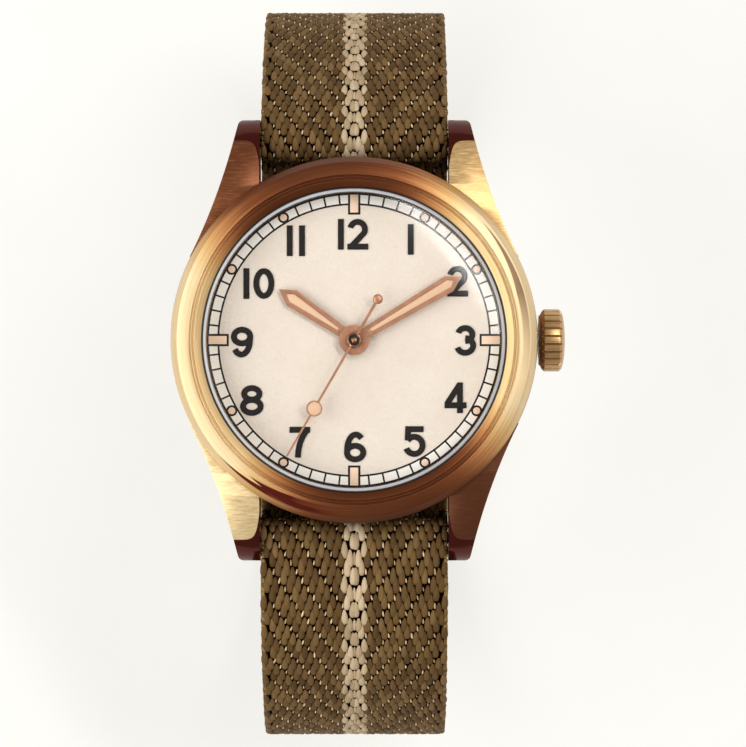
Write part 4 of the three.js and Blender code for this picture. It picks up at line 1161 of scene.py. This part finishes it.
def build_weave():
    brown = woven_thread("yarn_brown", (104, 79, 47), (74, 53, 29), (132, 104, 66))
    pale = woven_thread("yarn_pale", (188, 165, 133), (152, 130, 100), (206, 186, 156))
    weft = woven_thread("yarn_weft", (208, 182, 144), (150, 118, 80), (228, 206, 172))
    middle = COLUMNS // 2
    pale_columns = [c for c in range(COLUMNS) if abs(c + 0.5 - middle) < STRIPE_COLUMNS / 2]
    brown_columns = [c for c in range(COLUMNS) if c not in pale_columns]
    template = float_template(1.86, 0.7, 0.27)
    slim = float_template(1.6, 0.42, 0.22)
    groups = [("left", [c for c in brown_columns if c < middle], brown),
              ("right", [c for c in brown_columns if c > middle], brown), ("stripe", pale_columns, pale)]
    for side, word in FACES:
        for group, columns, yarn in groups:
            scatter(f"floats_{group}_{word}", template, float_places(columns, side), yarn, side)
        centre = [(0.0, s, 0.0, 1 + rng.normal(0, 0.05), -0.05)
                  for shift in (0, 0.5) for s in repeats(middle, side, shift * FLOAT_PERIOD)]
        scatter(f"floats_centre_{word}", slim, clear_of_hole(centre, side, 0.4), pale, side)
    # Short lengths of weft that show below every second column's floats.
    small = float_template(0.6, 0.18, 0.18)
    for side, word in FACES:
        rows = []
        for column in brown_columns:
            k, sign = (column, 1) if column < middle else (COLUMNS - 1 - column, -1)
            if k % 2 == 1 and k > 1:
                x = column_x(column) + sign * 0.13
                rows += [(x, s, sign * 0.15 + rng.normal(0, 0.08), 1 + rng.normal(0, 0.12), 0.02)
                         for s in repeats(column, side, 1.28)]
        scatter(f"weft_{word}", small, clear_of_hole(rows, side, 0.3), weft, side)
    # The selvedge: yarn that turns round each edge.
    edge_yarn = woven_thread("yarn_edge", (120, 94, 56), (82, 60, 31), (150, 124, 82))
    ring_points, ring_faces = float_template(1.3, 0.42, 0.3)
    for sign, word in ((1, "right"), (-1, "left")):
        pitch = FLOAT_PERIOD / 8
        s0 = (np.arange(int(BAND_LENGTH / pitch)) + 0.5) * pitch
        size = 1 + rng.normal(0, 0.05, len(s0))
        lean = rng.normal(0.45, 0.12, len(s0))[:, None]
        out = ring_points[None, :, 2] * size[:, None]
        up = ring_points[None, :, 1] * size[:, None] * 0.78
        along = ring_points[None, :, 0] * size[:, None] * 1.15 + up * lean
        x = sign * (8.76 + out * 0.9)
        verts = to_world(x, within_band(s0[:, None] + along), up).reshape(-1, 3)
        count = len(ring_points)
        faces = [tuple(i + n * count for i in f) for n in range(len(s0)) for f in ring_faces]
        edge = raw_object(f"selvedge_{word}", verts.tolist(), faces)
        write_uv(edge.data, np.stack([along + s0[:, None] * 3, up], -1))
        settle(edge, "case", edge_yarn, (), 60)


build_weave()


def build_sewn_end():
    """The band's end, folded round the buckle bar and slotted for the tongue."""
    profile = filleted([(0.66, -8.9), (1.55, -8.9), (1.55, 8.9), (0.66, 8.9)], 0.15, 3, closed=True)
    end = lathe("sewn_end", profile, 64, closed=True, axis="x", at=(0, BUCKLE_Y, BUCKLE_Z))
    slot_box = prism("slot", [(BUCKLE_Y - 2.5, 2.05), (BUCKLE_Y + 1.55, 2.05), (BUCKLE_Y + 1.55, 6),
                              (BUCKLE_Y - 2.5, 6)], -0.85, 0.85, axis="x")
    cut(end, slot_box)
    tree = Tree("sewn_webbing")
    ribs = tree.node("ShaderNodeTexWave", {"Vector": tree.coords(), "Scale": 560.0, "Distortion": 1.5,
                                           "Detail": 2.0, "Detail Scale": 2.0}, bands_direction="X")
    tree.tone(ribs.outputs["Fac"], (78, 57, 32), (108, 82, 48), 0.1, 0.8)
    tree.set(Roughness=0.75)
    tree.bump(ribs.outputs["Fac"], 0.4, 0.05)
    return settle(end, "case", tree.material, (), 40)


build_sewn_end()


def build_hem():
    """The tail's end, sealed and rounded."""
    along = np.array([BAND_LENGTH - 1.1, BAND_LENGTH, BAND_LENGTH, BAND_LENGTH - 1.1])
    height = np.array([0.55, 0.52, -0.52, -0.55])
    outline = to_world(np.zeros(4), along, height)[:, 1:].tolist()
    hem = prism("tail_hem", outline, -9.0, 9.0, axis="x")
    bevel(hem, 0.3, 4, 40)
    material = woven_thread("sealed_end", (88, 66, 38), (60, 42, 22), (110, 86, 54))
    settle(hem, "case", material, (), 50)


build_hem()

# ---- buckle, keepers and bars


def refined(node, name, body, width):
    """A copy of a CAD node with its flat faces joined and its edges rounded."""
    def change(bm):
        bmesh.ops.remove_doubles(bm, verts=bm.verts, dist=1e-6)
        bmesh.ops.dissolve_limit(bm, angle_limit=math.radians(0.5), verts=bm.verts, edges=bm.edges)

    thing = add_object(name, frame["nodes"][node].data.copy())
    edit(thing.data, change)
    return settle(bevel(thing, width, 3, 40), body, bronze_plain, [node], 35)


refined("buckle_frame", "buckle_loop", "buckle", 0.2)
refined("buckle_tongue", "buckle_prong", "tongue", 0.12)
refined("fixed_keeper", "keeper_sewn", "case", 0.12)
refined("sliding_keeper", "keeper_free", "keeper", 0.12)
for node, name in (("spring_bar_12", "bar_12"), ("spring_bar_6", "bar_6"), ("buckle_bar", "bar_buckle")):
    low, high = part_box(node)
    middle = [(a + b) / 2 / MM for a, b in zip(low, high)]
    half = (high.x - low.x) / 2 / MM
    radius = (high.z - low.z) / 2 / MM
    if node == "buckle_bar":
        outline = [(0, -half), (radius, -half), (radius, half), (0, half)]
    else:
        outline = [(0, -half), (0.45, -half), (0.45, -9.0), (radius, -9.0), (radius, 9.0), (0.45, 9.0),
                   (0.45, half), (0, half)]
    bar = lathe(name, filleted(outline, 0.08, 2), 48, axis="x", at=middle)
    settle(bar, "case", steel, [node], 35)

# ---- carried-over CAD nodes

NODE_FINISHES = {"steel": steel, "movement_brass": gilt, "black_rubber": rubber, "pale_plastic": pale_plastic,
                 "bronze": bronze_plain, "copper": copper, "lume": lume, "crystal": glass,
                 "dial_cream": cream, "woven_nylon": cream}
for row in frame["record"]["subparts"]:
    mesh = frame["nodes"][row["node"]].data
    mesh.materials.clear()
    mesh.materials.append(NODE_FINISHES[row["material_slot"]])

# ---- floor, light and camera

def build_stage():
    size = 3000
    floor = raw_object("floor", [(-size, -size, -0.02), (size, -size, -0.02), (size, size, -0.02),
                                 (-size, size, -0.02)], [(0, 1, 2, 3)])
    tree = Tree("light_table")
    speck = tree.noise(tree.coords(), 60.0, 3.0)
    tree.tone(speck, (146, 145, 142), (150, 149, 146))
    tree.set(Roughness=0.95, Emission_Color=(1.0, 0.985, 0.935, 1), Emission_Strength=0.64)
    floor.data.materials.append(tree.material)


def panel(name, azimuth, zenith, size, radiance):
    """A soft lamp 0.8 m from the watch head. Its size is (across, along the arc to the zenith) in metres."""
    lamp = bpy.data.lights.new(name, "AREA")
    lamp.shape = "RECTANGLE"
    lamp.size, lamp.size_y = size
    lamp.energy = math.pi * size[0] * size[1] * radiance
    thing = add_object(name, lamp)
    zenith = math.radians(zenith)
    aim = Vector((*arc((0, 0), math.sin(zenith), azimuth, azimuth, 1)[0], math.cos(zenith)))
    thing.location = aim * 0.8 + Vector((0, 0, 0.05))
    thing.rotation_euler = aim.to_track_quat("Z", "Y").to_euler()


def build_light():
    world = bpy.data.worlds.new("studio")
    world.use_nodes = True
    background = world.node_tree.nodes["Background"]
    background.inputs["Color"].default_value = (1.0, 0.985, 0.96, 1)
    background.inputs["Strength"].default_value = 0.36
    bpy.context.scene.world = world
    bpy.context.scene.view_settings.view_transform = "Standard"
    panel("key", 22, 50, (1.1, 0.6), 0.9)
    panel("left", 190, 50, (1.1, 0.6), 3.2)
    panel("haze", 38, 27.5, (0.56, 0.06), 25.0)


CAMERA_DISTANCE = 400.0
VIEW_WIDTH = 71.0476                             # what the camera takes in at that distance


def build_camera():
    """Straight down on the dial, far enough off for the band's slight narrowing."""
    lens = bpy.data.cameras.new("camera")
    camera = add_object("camera", lens)
    lens.sensor_width = 36
    lens.lens = lens.sensor_width * CAMERA_DISTANCE / VIEW_WIDTH
    lens.clip_start = 0.01
    camera.location = (0.0018, -0.0032, (HEAD_Z + 8.5 + CAMERA_DISTANCE) * MM)
    bpy.context.scene.camera = camera


build_stage()
build_light()
build_camera()
